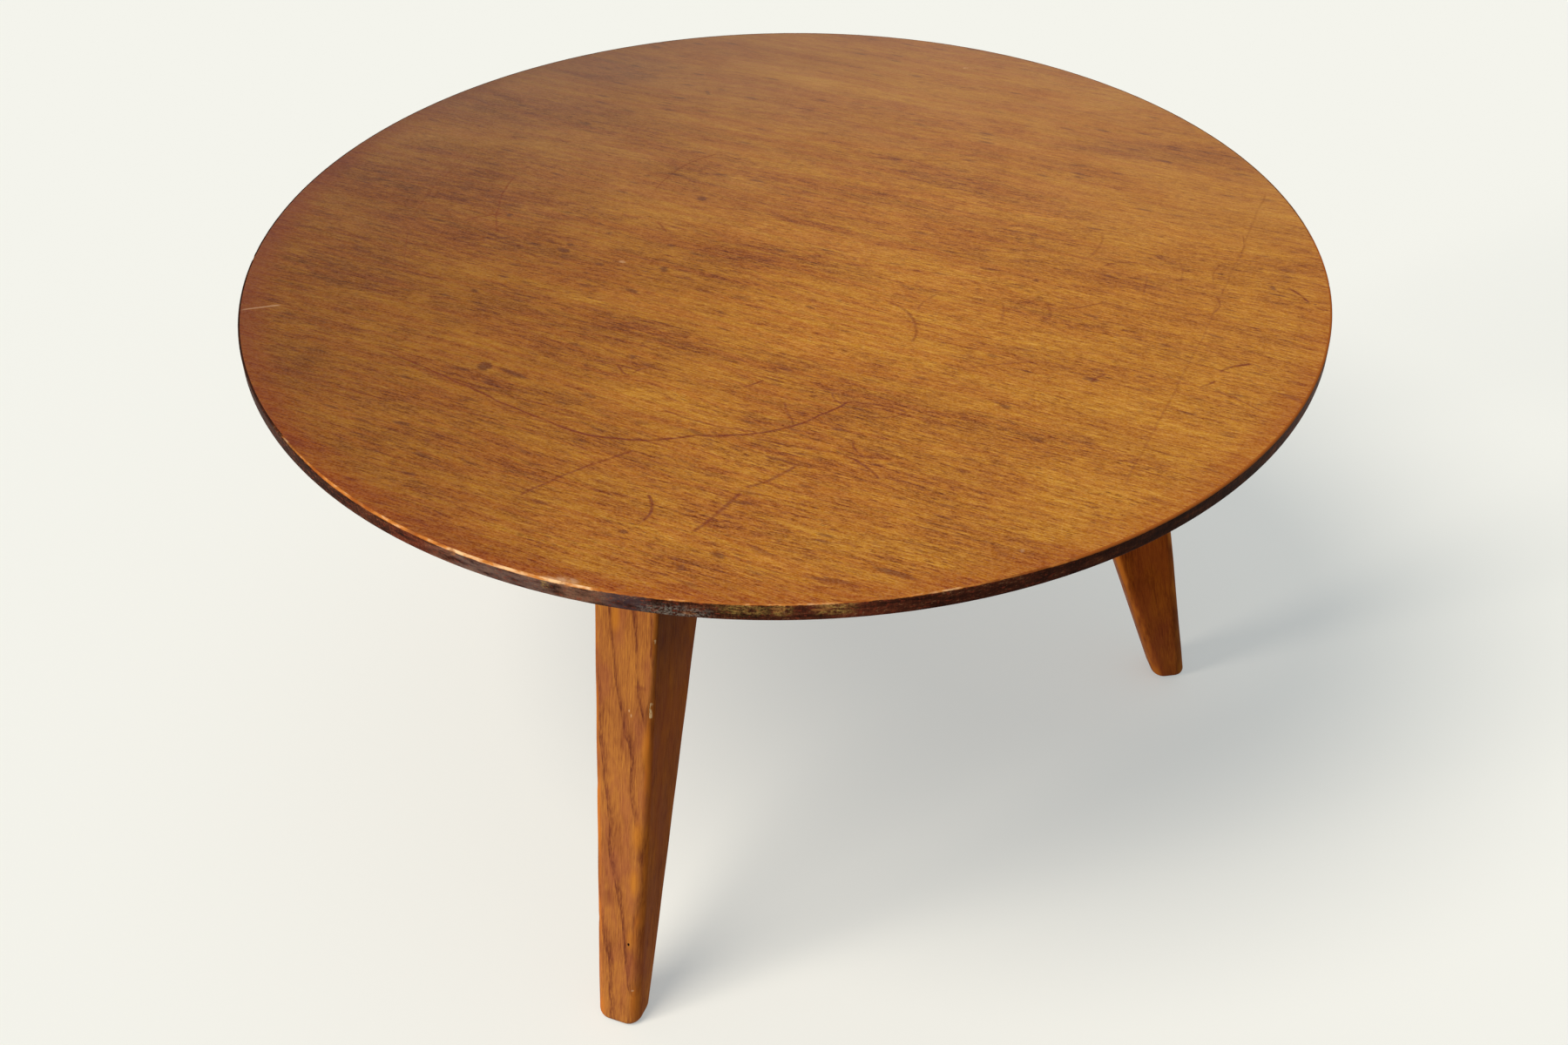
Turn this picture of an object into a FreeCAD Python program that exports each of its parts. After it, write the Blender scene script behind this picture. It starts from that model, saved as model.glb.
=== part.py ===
"""Round coffee table on three splayed, tapered legs.

The top is a five-ply board with a dark wooden band round its rim. Under it three rails meet
at a six-sided centre block. Each rail butts against the sloping inner face of a leg, and
every butt joint is held by two beech dowels. Round-head screws, sunk in the undersides of
the rails and of the centre block, pull the board down on to the frame.

Frame: millimetres, +Z up, floor at z = 0, the table's axis on Z. The front leg points
along -Y and the other two stand 120 degrees to each side of it.
"""

import FreeCAD, Part
import Sketcher

import math
import os

from FreeCAD import Placement, Rotation, Vector

# Driving dimensions, in millimetres and degrees
DIMENSIONS = {
    "table_height": 475.0,
    "top_diameter": 800.0,
    "top_thickness": 12.0,
    "face_veneer": 1.2,
    "crossband": 3.2,
    "band_thickness": 1.5,
    "band_arris": 1.0,
    "band_seam": 0.2,
    "leg_top_outer": 275.0,
    "leg_top_inner": 174.0,
    "leg_top_width": 51.0,
    "leg_top_corner": 1.5,
    "leg_foot_outer": 369.5,
    "leg_foot_inner": 341.0,
    "leg_foot_width": 33.5,
    "leg_foot_corner": 10.0,
    "foot_round": 7.0,
    "rail_width": 40.0,
    "rail_depth": 56.0,
    "rail_arris": 3.0,
    "hub_apothem": 42.0,
    "hub_face": 50.0,
    "dowel_diameter": 10.0,
    "dowel_chamfer": 1.0,
    "leg_dowel_length": 60.0,
    "hub_dowel_length": 50.0,
    "dowel_end_gap": 1.0,
    "dowel_upper_drop": 16.0,
    "dowel_lower_drop": 40.0,
    "screw_shank": 4.8,
    "screw_core": 3.6,
    "screw_clearance": 5.2,
    "screw_head_diameter": 9.0,
    "screw_head_height": 3.2,
    "screw_slot_width": 1.2,
    "screw_slot_depth": 1.6,
    "screw_tip": 4.0,
    "screw_bite": 7.5,
    "counterbore_diameter": 12.0,
    "counterbore_depth": 26.0,
    "screw_inner_radius": 88.0,
    "screw_outer_radius": 132.0,
}

# The front leg's direction first, then the other two, counted from +X
LEG_ANGLES = {"front": -90.0, "back_right": 30.0, "back_left": 150.0}

doc = FreeCAD.newDocument("coffee_table")


def make_sheet():
    """The spreadsheet of driving dimensions, one aliased cell to a row."""
    sheet = doc.addObject("Spreadsheet::Sheet", "Params")
    for row, (alias, value) in enumerate(DIMENSIONS.items(), start=1):
        sheet.set(f"A{row}", alias)
        sheet.set(f"B{row}", str(value))
        sheet.setAlias(f"B{row}", alias)
    doc.recompute()
    return sheet


params = make_sheet()

# Expressions that several sub-parts share
UNDERSIDE = "(Params.table_height - Params.top_thickness)"
RAIL_BOTTOM = f"({UNDERSIDE} - Params.rail_depth)"
CORE_PLY = "(Params.top_thickness - 2 * Params.face_veneer - 2 * Params.crossband)"
BOARD_RADIUS = "(Params.top_diameter / 2 - Params.band_thickness)"
UPPER_DOWEL_Z = f"({UNDERSIDE} - Params.dowel_upper_drop)"
LOWER_DOWEL_Z = f"({UNDERSIDE} - Params.dowel_lower_drop)"
SCREW_SEAT = f"({RAIL_BOTTOM} + Params.counterbore_depth)"
SHANK_LENGTH = "(Params.rail_depth - Params.counterbore_depth)"


def inner_face_at(height):
    """Expression for how far the leg's sloping inner face stands from the table's axis."""
    lean = "(Params.leg_top_inner - Params.leg_foot_inner)"
    return f"(Params.leg_foot_inner + {lean} * {height} / {UNDERSIDE})"


# Dowels in a leg joint are centred where the inner face is halfway down the rail
LEG_DOWEL_CENTRE = inner_face_at(f"({UNDERSIDE} - Params.rail_depth / 2)")


def spin(angle):
    """Placement that turns a sub-part about the table's axis."""
    return Placement(Vector(0, 0, 0), Rotation(Vector(0, 0, 1), angle))


def make_body(name, angle=0.0):
    """An empty body whose local X axis points outwards along the given direction."""
    body = doc.addObject("PartDesign::Body", name)
    body.Label = name
    body.Placement = spin(angle)
    return body


def origin_feature(body, role):
    """One of a body's own origin planes or axes, found by its role."""
    return next(item for item in body.Origin.OriginFeatures if item.Role == role)


def make_sketch(body, name, role, offset=None):
    """A sketch on one of the body's origin planes, lifted along the plane's normal."""
    sketch = body.newObject("Sketcher::SketchObject", name)
    sketch.AttachmentSupport = [(origin_feature(body, role), "")]
    sketch.MapMode = "FlatFace"
    if offset is not None:
        sketch.setExpression("AttachmentOffset.Base.z", offset)
    return sketch


def bind(sketch, constraint, expression):
    """Adds a dimensional constraint and drives it from the sheet."""
    index = sketch.addConstraint(constraint)
    sketch.setExpression(f"Constraints[{index}]", expression)


def add_circle(sketch, radius, x=None, y=None):
    """A circle centred on the sketch's origin, or at bound distances from it.

    The radius, x and y are each a value and the expression that drives it.
    """
    middle = Vector(x[0] if x else 0, y[0] if y else 0, 0)
    circle = sketch.addGeometry(Part.Circle(middle, Vector(0, 0, 1), radius[0]), False)
    centre = (circle, 3)
    bind(sketch, Sketcher.Constraint("Radius", circle, radius[0]), radius[1])
    if x:
        bind(sketch, Sketcher.Constraint("DistanceX", -1, 1, *centre, x[0]), x[1])
    if y:
        bind(sketch, Sketcher.Constraint("DistanceY", -1, 1, *centre, y[0]), y[1])
    if x and not y:
        sketch.addConstraint(Sketcher.Constraint("PointOnObject", *centre, -1))
    if y and not x:
        sketch.addConstraint(Sketcher.Constraint("PointOnObject", *centre, -2))
    if not (x or y):
        sketch.addConstraint(Sketcher.Constraint("Coincident", *centre, -1, 1))


def add_polygon(sketch, corners):
    """A closed run of straight lines through the corners, joined end to end."""
    points = [Vector(x, y, 0) for x, y in corners]
    pairs = zip(points, points[1:] + points[:1])
    lines = [sketch.addGeometry(Part.LineSegment(a, b), False) for a, b in pairs]
    for line, following in zip(lines, lines[1:] + lines[:1]):
        sketch.addConstraint(Sketcher.Constraint("Coincident", line, 2, following, 1))
    return lines


def place_corner(sketch, line, x, y, x_expression, y_expression):
    """Holds a line's start point at bound distances from the sketch's origin."""
    bind(sketch, Sketcher.Constraint("DistanceX", -1, 1, line, 1, x), x_expression)
    bind(sketch, Sketcher.Constraint("DistanceY", -1, 1, line, 1, y), y_expression)


def pad(body, sketch, name, length, midplane=False):
    """Pads a sketch by a bound length."""
    feature = body.newObject("PartDesign::Pad", name)
    feature.Profile = sketch
    feature.setExpression("Length", length)
    feature.Midplane = midplane
    doc.recompute()
    return feature


def pocket(body, sketch, name, length=None, reverse=False):
    """Cuts a sketch's outline into the body, checking that it took material away."""
    before = body.Shape.Volume
    feature = body.newObject("PartDesign::Pocket", name)
    feature.Profile = sketch
    feature.Reversed = reverse
    if length is None:
        feature.Type = "ThroughAll"
    else:
        feature.setExpression("Length", length)
    doc.recompute()
    if not 0 < body.Shape.Volume < before - 1.0:
        raise RuntimeError(f"{body.Label}: {name} cut nothing, or everything")
    return feature


def edges_where(shape, test):
    """Names of a shape's edges for which the test holds."""
    return [f"Edge{i}" for i, edge in enumerate(shape.Edges, start=1) if test(edge)]


def round_edges(body, base, name, edges, radius):
    """Rounds the named edges of a feature by a bound radius."""
    feature = body.newObject("PartDesign::Fillet", name)
    feature.Base = (base, edges)
    feature.setExpression("Radius", radius)
    doc.recompute()


def bevel_edges(body, base, name, edges, size):
    """Cuts a bound 45-degree bevel along the named edges of a feature."""
    feature = body.newObject("PartDesign::Chamfer", name)
    feature.Base = (base, edges)
    feature.setExpression("Size", size)
    doc.recompute()


def lies_at_height(edge, height, tolerance=0.01):
    """Whether an edge lies flat at a height in its body's own frame."""
    box = edge.BoundBox
    return abs(box.ZMin - height) < tolerance and abs(box.ZMax - height) < tolerance


# Board


def driven(alias, divisor=1):
    """A dimension, or a part of it, as a value and the expression that drives it."""
    return (getattr(params, alias) / divisor, f"Params.{alias} / {divisor}")


# How far each rail's two screws stand from the table's axis
RAIL_SCREW_SPOTS = [driven("screw_inner_radius"), driven("screw_outer_radius")]


def drill_board(body):
    """Pilot holes for the screws: one on the axis, and two over each rail, repeated three times."""
    centre = make_sketch(body, "CentrePilot", "XY_Plane")
    add_circle(centre, driven("screw_core", 2))
    pocket(body, centre, "CentrePilotHole", reverse=True)
    pilots = make_sketch(body, "RailPilots", "XY_Plane")
    for spot in RAIL_SCREW_SPOTS:
        add_circle(pilots, driven("screw_core", 2), x=spot)
    holes = pocket(body, pilots, "RailPilotHoles", reverse=True)
    pattern = body.newObject("PartDesign::PolarPattern", "PilotPattern")
    pattern.Originals = [holes]
    pattern.Axis = (origin_feature(body, "Z_Axis"), [""])
    pattern.Angle = 360
    pattern.Occurrences = 3
    body.Tip = pattern
    doc.recompute()


def make_ply(name, bottom, thickness, drilled):
    """One round sheet of the board, its lower face at the bound height."""
    body = make_body(name, LEG_ANGLES["front"])
    outline = make_sketch(body, "Outline", "XY_Plane")
    add_circle(outline, (params.top_diameter / 2 - params.band_thickness, BOARD_RADIUS))
    pad(body, outline, "Sheet", thickness)
    if drilled:
        drill_board(body)
    body.setExpression("Placement.Base.z", bottom)
    return body


def make_board():
    """The five plies, from the underside up. The screws reach into the lower three."""
    core_bottom = f"({UNDERSIDE} + Params.face_veneer + Params.crossband)"
    face_bottom = "Params.table_height - Params.face_veneer"
    return [
        make_ply("underside_veneer", UNDERSIDE, "Params.face_veneer", True),
        make_ply("lower_crossband", f"{UNDERSIDE} + Params.face_veneer", "Params.crossband", True),
        make_ply("core_ply", core_bottom, CORE_PLY, True),
        make_ply("upper_crossband", f"{core_bottom} + {CORE_PLY}", "Params.crossband", False),
        make_ply("top_face_veneer", face_bottom, "Params.face_veneer", False),
    ]


def make_edge_band():
    """The thin strip bent round the rim: outer arrises bevelled, and the two ends butted at the back."""
    seam_angle = math.degrees(params.band_seam / (params.top_diameter / 2))
    body = make_body("edge_band", 90.0 + seam_angle / 2)
    section = make_sketch(body, "BandSection", "XZ_Plane")
    inner = params.top_diameter / 2 - params.band_thickness
    outer = params.top_diameter / 2
    low = params.table_height - params.top_thickness
    high = params.table_height
    lines = add_polygon(section, [(inner, low), (outer, low), (outer, high), (inner, high)])
    for line in (lines[0], lines[2]):
        section.addConstraint(Sketcher.Constraint("Horizontal", line))
    for line in (lines[1], lines[3]):
        section.addConstraint(Sketcher.Constraint("Vertical", line))
    place_corner(section, lines[0], inner, low, BOARD_RADIUS, UNDERSIDE)
    place_corner(section, lines[2], outer, high, "Params.top_diameter / 2", "Params.table_height")
    ring = body.newObject("PartDesign::Revolution", "BentStrip")
    ring.Profile = section
    ring.ReferenceAxis = (origin_feature(body, "Z_Axis"), [""])
    ring.setExpression("Angle", "360 deg - Params.band_seam / (Params.top_diameter / 2) * 180 deg / pi")
    doc.recompute()

    def is_outer_arris(edge):
        box = edge.BoundBox
        return box.ZLength < 0.01 and box.XMax > outer - 0.01

    bevel_edges(body, ring, "OuterArrises", edges_where(ring.Shape, is_outer_arris), "Params.band_arris")
    return body


# Legs


def add_rounded_rectangle(sketch, inner, outer, width, corner):
    """Leg section: straight sides joined by four equal corner arcs, symmetric about X.

    Each argument is a value and the expression that drives it.
    """
    x0, x1 = inner[0], outer[0]
    half = width[0] / 2
    r = corner[0]
    quarter = math.pi / 2
    centres = [(x1 - r, half - r), (x0 + r, half - r), (x0 + r, -half + r), (x1 - r, -half + r)]
    arcs = []
    for turn, (x, y) in enumerate(centres):
        circle = Part.Circle(Vector(x, y, 0), Vector(0, 0, 1), r)
        arc = Part.ArcOfCircle(circle, turn * quarter, (turn + 1) * quarter)
        arcs.append(sketch.addGeometry(arc, False))
    ends = [((x1 - r, half), (x0 + r, half)), ((x0, half - r), (x0, -half + r))]
    ends += [((x0 + r, -half), (x1 - r, -half)), ((x1, -half + r), (x1, half - r))]
    lines = [sketch.addGeometry(Part.LineSegment(Vector(*a, 0), Vector(*b, 0)), False) for a, b in ends]
    for i in range(4):
        sketch.addConstraint(Sketcher.Constraint("Tangent", arcs[i], 2, lines[i], 1))
        sketch.addConstraint(Sketcher.Constraint("Tangent", lines[i], 2, arcs[(i + 1) % 4], 1))
    sketch.addConstraint(Sketcher.Constraint("Horizontal", lines[0]))
    sketch.addConstraint(Sketcher.Constraint("Vertical", lines[1]))
    sketch.addConstraint(Sketcher.Constraint("Horizontal", lines[2]))
    sketch.addConstraint(Sketcher.Constraint("Vertical", lines[3]))
    for arc in arcs[1:]:
        sketch.addConstraint(Sketcher.Constraint("Equal", arcs[0], arc))
    bind(sketch, Sketcher.Constraint("Radius", arcs[0], r), corner[1])
    bind(sketch, Sketcher.Constraint("DistanceX", -1, 1, lines[1], 1, x0), inner[1])
    bind(sketch, Sketcher.Constraint("DistanceX", -1, 1, lines[3], 1, x1), outer[1])
    bind(sketch, Sketcher.Constraint("DistanceY", -1, 1, lines[0], 1, half), f"{width[1]} / 2")
    bind(sketch, Sketcher.Constraint("DistanceY", lines[2], 1, -1, 1, half), f"{width[1]} / 2")


def dowel_heights():
    """The heights of a joint's two dowels, each as a value and the expression that drives it."""
    underside = params.table_height - params.top_thickness
    return {
        "upper": (underside - params.dowel_upper_drop, UPPER_DOWEL_Z),
        "lower": (underside - params.dowel_lower_drop, LOWER_DOWEL_Z),
    }


def drill_dowel_pair(body, name, start, length, reverse):
    """Two level holes along X, one above the other, from a plane at the bound distance."""
    holes = make_sketch(body, name, "YZ_Plane", offset=start)
    for height in dowel_heights().values():
        add_circle(holes, driven("dowel_diameter", 2), y=height)
    return pocket(body, holes, f"{name}Holes", length=length, reverse=reverse)


def make_leg(name, angle):
    """Leg tapered in both directions, its corners softening and its end rounded towards the floor."""
    body = make_body(name, angle)
    foot = make_sketch(body, "FootSection", "XY_Plane")
    foot_sizes = ("leg_foot_inner", "leg_foot_outer", "leg_foot_width", "leg_foot_corner")
    add_rounded_rectangle(foot, *[driven(alias) for alias in foot_sizes])
    top = make_sketch(body, "TopSection", "XY_Plane", offset=UNDERSIDE)
    top_sizes = ("leg_top_inner", "leg_top_outer", "leg_top_width", "leg_top_corner")
    add_rounded_rectangle(top, *[driven(alias) for alias in top_sizes])
    taper = body.newObject("PartDesign::AdditiveLoft", "Taper")
    taper.Profile = top
    taper.Sections = [foot]
    taper.Ruled = True
    doc.recompute()
    floor_edges = edges_where(taper.Shape, lambda edge: lies_at_height(edge, 0.0))
    round_edges(body, taper, "FootRound", floor_edges, "Params.foot_round")
    half_dowel = "Params.leg_dowel_length / 2 + Params.dowel_end_gap"
    drill_dowel_pair(
        body,
        "LegDowel",
        f"{LEG_DOWEL_CENTRE} + {half_dowel}",
        f"{half_dowel} + Params.rail_depth",
        reverse=False,
    )
    return body


# Underframe


def make_rail(name, angle):
    """Rail from the centre block to a leg, its outer end cut to the slope of the leg's inner face."""
    body = make_body(name, angle)
    side = make_sketch(body, "SideProfile", "XZ_Plane")
    high = params.table_height - params.top_thickness
    low = high - params.rail_depth
    lean = (params.leg_top_inner - params.leg_foot_inner) / high
    reach_low = params.leg_foot_inner + lean * low
    near = params.hub_apothem
    lines = add_polygon(side, [(near, low), (reach_low, low), (params.leg_top_inner, high), (near, high)])
    place_corner(side, lines[0], near, low, "Params.hub_apothem", RAIL_BOTTOM)
    place_corner(side, lines[1], reach_low, low, inner_face_at(RAIL_BOTTOM), RAIL_BOTTOM)
    place_corner(side, lines[2], params.leg_top_inner, high, "Params.leg_top_inner", UNDERSIDE)
    place_corner(side, lines[3], near, high, "Params.hub_apothem", UNDERSIDE)
    bar = pad(body, side, "Bar", "Params.rail_width", midplane=True)

    def is_lower_arris(edge):
        return lies_at_height(edge, low) and edge.BoundBox.YLength < 0.01

    round_edges(body, bar, "LowerArrises", edges_where(bar.Shape, is_lower_arris), "Params.rail_arris")
    half_leg_dowel = "Params.leg_dowel_length / 2 + Params.dowel_end_gap"
    drill_dowel_pair(
        body,
        "LegEndDowel",
        f"{LEG_DOWEL_CENTRE} - ({half_leg_dowel})",
        f"{half_leg_dowel} + Params.rail_depth",
        reverse=True,
    )
    half_hub_dowel = "Params.hub_dowel_length / 2 + Params.dowel_end_gap"
    drill_dowel_pair(body, "HubEndDowel", "Params.hub_apothem", half_hub_dowel, reverse=True)
    drill_screw_ways(body, RAIL_SCREW_SPOTS)
    return body


def drill_screw_ways(body, spots):
    """Screw clearance holes up through the wood, each with a wide flat-bottomed counterbore below.

    A spot is a bound distance from the table's axis, or None on the axis itself.
    """
    clearance = make_sketch(body, "ScrewWay", "XY_Plane", offset=RAIL_BOTTOM)
    sink = make_sketch(body, "HeadWay", "XY_Plane", offset=RAIL_BOTTOM)
    for spot in spots:
        add_circle(clearance, driven("screw_clearance", 2), x=spot)
        add_circle(sink, driven("counterbore_diameter", 2), x=spot)
    pocket(body, clearance, "ScrewHoles", length="Params.rail_depth", reverse=True)
    pocket(body, sink, "Counterbores", length="Params.counterbore_depth", reverse=True)


def make_hub():
    """Six-sided centre block: three faces take the rails, and three narrower ones lie between them."""
    body = make_body("centre_block", LEG_ANGLES["front"])
    outline = make_sketch(body, "Hexagon", "XY_Plane", offset=RAIL_BOTTOM)
    corners = []
    for turn in (0, 120, 240):
        for side in (-1, 1):
            point = spin(turn).multVec(Vector(params.hub_apothem, side * params.hub_face / 2, 0))
            aside = f"{side} * Params.hub_face / 2"
            away = f"Params.hub_apothem * cos({turn} deg) - {aside} * sin({turn} deg)"
            along = f"Params.hub_apothem * sin({turn} deg) + {aside} * cos({turn} deg)"
            corners.append((point.x, point.y, away, along))
    lines = add_polygon(outline, [(x, y) for x, y, _, _ in corners])
    for line, corner in zip(lines, corners):
        place_corner(outline, line, *corner)
    block = pad(body, outline, "Block", "Params.rail_depth")
    low = params.table_height - params.top_thickness - params.rail_depth
    lower_edges = edges_where(block.Shape, lambda edge: lies_at_height(edge, low))
    round_edges(body, block, "LowerArrises", lower_edges, "Params.rail_arris")
    half_hub_dowel = "Params.hub_dowel_length / 2 + Params.dowel_end_gap"
    holes = drill_dowel_pair(body, "RailDowel", "Params.hub_apothem", half_hub_dowel, reverse=False)
    pattern = body.newObject("PartDesign::PolarPattern", "DowelPattern")
    pattern.Originals = [holes]
    pattern.Axis = (origin_feature(body, "Z_Axis"), [""])
    pattern.Angle = 360
    pattern.Occurrences = 3
    body.Tip = pattern
    doc.recompute()
    drill_screw_ways(body, [None])
    return body


# Dowels and screws


def make_dowel(name, angle, height, start, length):
    """Beech dowel lying level along a rail at a driven height, its two ends bevelled."""
    body = make_body(name, angle)
    end = make_sketch(body, "RodEnd", "YZ_Plane", offset=start)
    add_circle(end, driven("dowel_diameter", 2), y=height)
    rod = pad(body, end, "Rod", length)
    rims = edges_where(rod.Shape, lambda edge: edge.BoundBox.XLength < 0.01)
    bevel_edges(body, rod, "EndBevels", rims, "Params.dowel_chamfer")
    return body


def make_dowels():
    """Two dowels to each joint: three joints at the legs and three at the centre block."""
    joints = [
        ("leg", LEG_DOWEL_CENTRE, "Params.leg_dowel_length"),
        ("block", "Params.hub_apothem", "Params.hub_dowel_length"),
    ]
    dowels = []
    for joint, centre, length in joints:
        start = f"{centre} - {length} / 2"
        for place, angle in LEG_ANGLES.items():
            for level, height in dowel_heights().items():
                dowels.append(make_dowel(f"{joint}_dowel_{place}_{level}", angle, height, start, length))
    return dowels


def draw_screw(sketch):
    """Half of the screw's lengthwise section, pointing up, with the head's seat at height 0."""
    head = driven("screw_head_diameter", 2)
    shank = driven("screw_shank", 2)
    core = driven("screw_core", 2)
    dome = (-params.screw_head_height, "-Params.screw_head_height")
    shank_end = (params.rail_depth - params.counterbore_depth, SHANK_LENGTH)
    tip_end = (shank_end[0] + params.screw_bite, f"{SHANK_LENGTH} + Params.screw_bite")
    tip_start = (tip_end[0] - params.screw_tip, f"{SHANK_LENGTH} + Params.screw_bite - Params.screw_tip")
    level = (0.0, "0")
    corners = [(head, level), (shank, level), (shank, shank_end), (core, shank_end), (core, tip_start)]
    corners += [(level, tip_end), (level, dome)]
    points = [Vector(x[0], y[0], 0) for x, y in corners]
    lines = [sketch.addGeometry(Part.LineSegment(a, b), False) for a, b in zip(points, points[1:])]
    for line, following in zip(lines, lines[1:]):
        sketch.addConstraint(Sketcher.Constraint("Coincident", line, 2, following, 1))
    for line, (x, y) in zip(lines[1:], corners[1:-1]):
        place_corner(sketch, line, x[0], y[0], x[1], y[1])
    bind(sketch, Sketcher.Constraint("DistanceX", -1, 1, lines[0], 1, head[0]), head[1])
    sketch.addConstraint(Sketcher.Constraint("PointOnObject", lines[0], 1, -1))
    bind(sketch, Sketcher.Constraint("DistanceY", -1, 1, lines[-1], 2, dome[0]), dome[1])
    sketch.addConstraint(Sketcher.Constraint("PointOnObject", lines[-1], 2, -2))
    rise = params.screw_head_height
    radius = (head[0] ** 2 + rise**2) / (2 * rise)
    circle = Part.Circle(Vector(0, radius - rise, 0), Vector(0, 0, 1), radius)
    slope = math.atan2(rise - radius, head[0])
    arc = sketch.addGeometry(Part.ArcOfCircle(circle, -math.pi / 2, slope), False)
    sketch.addConstraint(Sketcher.Constraint("Coincident", arc, 1, lines[-1], 2))
    sketch.addConstraint(Sketcher.Constraint("Coincident", arc, 2, lines[0], 1))
    sketch.addConstraint(Sketcher.Constraint("PointOnObject", arc, 3, -2))


# A screw's slot stops wherever the last turn left it, so no two slots point the same way
SLOT_STEP = 37.0


def make_screw(name, angle, distance, slot_angle):
    """Slotted round-head wood screw standing head down, its seat at the bottom of a counterbore."""
    body = make_body(name, slot_angle)
    section = make_sketch(body, "ScrewSection", "XZ_Plane")
    draw_screw(section)
    turned = body.newObject("PartDesign::Revolution", "TurnedScrew")
    turned.Profile = section
    turned.ReferenceAxis = (origin_feature(body, "Z_Axis"), [""])
    turned.Angle = 360
    doc.recompute()
    slot = make_sketch(body, "SlotOutline", "XY_Plane", offset="-Params.screw_head_height")
    half_length = params.screw_head_diameter
    half_width = params.screw_slot_width / 2
    corners = [(-half_length, -half_width), (half_length, -half_width)]
    corners += [(half_length, half_width), (-half_length, half_width)]
    lines = add_polygon(slot, corners)
    for line, (x, y) in zip(lines, corners):
        away = f"{math.copysign(1, x)} * Params.screw_head_diameter"
        aside = f"{math.copysign(1, y)} * Params.screw_slot_width / 2"
        place_corner(slot, line, x, y, away, aside)
    pocket(body, slot, "Slot", length="Params.screw_slot_depth", reverse=True)
    body.setExpression("Placement.Base.x", f"{distance} * cos({angle} deg)")
    body.setExpression("Placement.Base.y", f"{distance} * sin({angle} deg)")
    body.setExpression("Placement.Base.z", SCREW_SEAT)
    return body


def make_screws():
    """The six rail screws as one group of separate solids, and the centre block's screw."""
    group = doc.addObject("Part::Compound", "rail_screws")
    group.Label = "rail_screws"
    singles = []
    slot_angle = 0.0
    for place, angle in LEG_ANGLES.items():
        for spot, (_, distance) in zip(("inner", "outer"), RAIL_SCREW_SPOTS):
            slot_angle += SLOT_STEP
            singles.append(make_screw(f"rail_screw_{place}_{spot}", angle, distance, slot_angle))
    group.Links = singles
    return [group, make_screw("block_screw", 0.0, "0 mm", slot_angle + SLOT_STEP)]


def make_table():
    """Every sub-part of the table, in the order it would be put together."""
    parts = make_board()
    parts.append(make_edge_band())
    parts += [make_leg(f"leg_{place}", angle) for place, angle in LEG_ANGLES.items()]
    parts += [make_rail(f"rail_{place}", angle) for place, angle in LEG_ANGLES.items()]
    parts.append(make_hub())
    parts += make_dowels()
    parts += make_screws()
    doc.recompute()
    return parts


def check(parts):
    """Stops if any object of the document failed, or a sub-part is empty or not a valid closed shape."""
    for item in doc.Objects:
        if {"Invalid", "Error"} & set(item.State):
            raise RuntimeError(f"{item.Label} failed: {item.State}")
    for item in parts:
        if item.Shape.isNull() or not item.Shape.isValid() or not item.Shape.Solids:
            raise RuntimeError(f"{item.Label} has no valid solid")


table_parts = make_table()
check(table_parts)
os.makedirs("parts", exist_ok=True)
for part in table_parts:
    part.Shape.exportStep(f"parts/{part.Label}.step")
    print(f"{part.Label}: {len(part.Shape.Solids)} solid(s), {part.Shape.Volume / 1000:.1f} cm3")
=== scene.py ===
"""A low round table on three splayed legs: its veneered top, dark edge band, shaped legs and finishes."""
from functools import reduce
from math import atan2, cos, degrees, radians, sin, tau

import bpy
import numpy as np
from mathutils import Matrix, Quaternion, Vector


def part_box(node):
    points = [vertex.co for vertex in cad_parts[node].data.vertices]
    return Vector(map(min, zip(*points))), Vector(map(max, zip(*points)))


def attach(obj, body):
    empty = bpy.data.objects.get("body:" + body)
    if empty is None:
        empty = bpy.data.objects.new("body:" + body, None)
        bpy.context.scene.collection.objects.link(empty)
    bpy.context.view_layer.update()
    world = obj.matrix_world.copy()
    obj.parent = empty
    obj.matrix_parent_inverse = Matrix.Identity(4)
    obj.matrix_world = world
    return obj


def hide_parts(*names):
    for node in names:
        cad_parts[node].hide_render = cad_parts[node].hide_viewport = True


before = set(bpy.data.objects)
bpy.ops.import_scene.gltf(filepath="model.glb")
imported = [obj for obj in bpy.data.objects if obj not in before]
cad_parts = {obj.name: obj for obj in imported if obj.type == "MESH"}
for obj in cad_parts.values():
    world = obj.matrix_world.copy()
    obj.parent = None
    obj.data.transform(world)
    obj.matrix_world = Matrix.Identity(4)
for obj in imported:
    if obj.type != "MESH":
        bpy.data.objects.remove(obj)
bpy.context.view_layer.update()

MM = 0.001


def metres(lengths):
    """Lengths in millimetres as lengths in metres."""
    return tuple(length * MM for length in lengths)


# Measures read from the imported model


def points_of(node):
    """All points of a CAD node's mesh, one row of x, y, z each."""
    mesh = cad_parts[node].data
    points = np.empty(3 * len(mesh.vertices), np.float32)
    mesh.vertices.foreach_get("co", points)
    return points.reshape(-1, 3).astype(float)


veneer_low, veneer_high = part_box("top_face_veneer")
band_low, band_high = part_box("edge_band")
RIM = band_high.x
SHEET_RIM = veneer_high.x
TABLE_TOP = band_high.z
BOARD_UNDERSIDE = band_low.z
SHEET_THICK = veneer_high.z - veneer_low.z
BAND_HIGH = TABLE_TOP - BOARD_UNDERSIDE

# The legs' rounds, which their meshes follow but don't state
FOOT_ROUND = 7 * MM
FOOT_CORNER = 10 * MM
TOP_CORNER = 1.5 * MM

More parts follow.
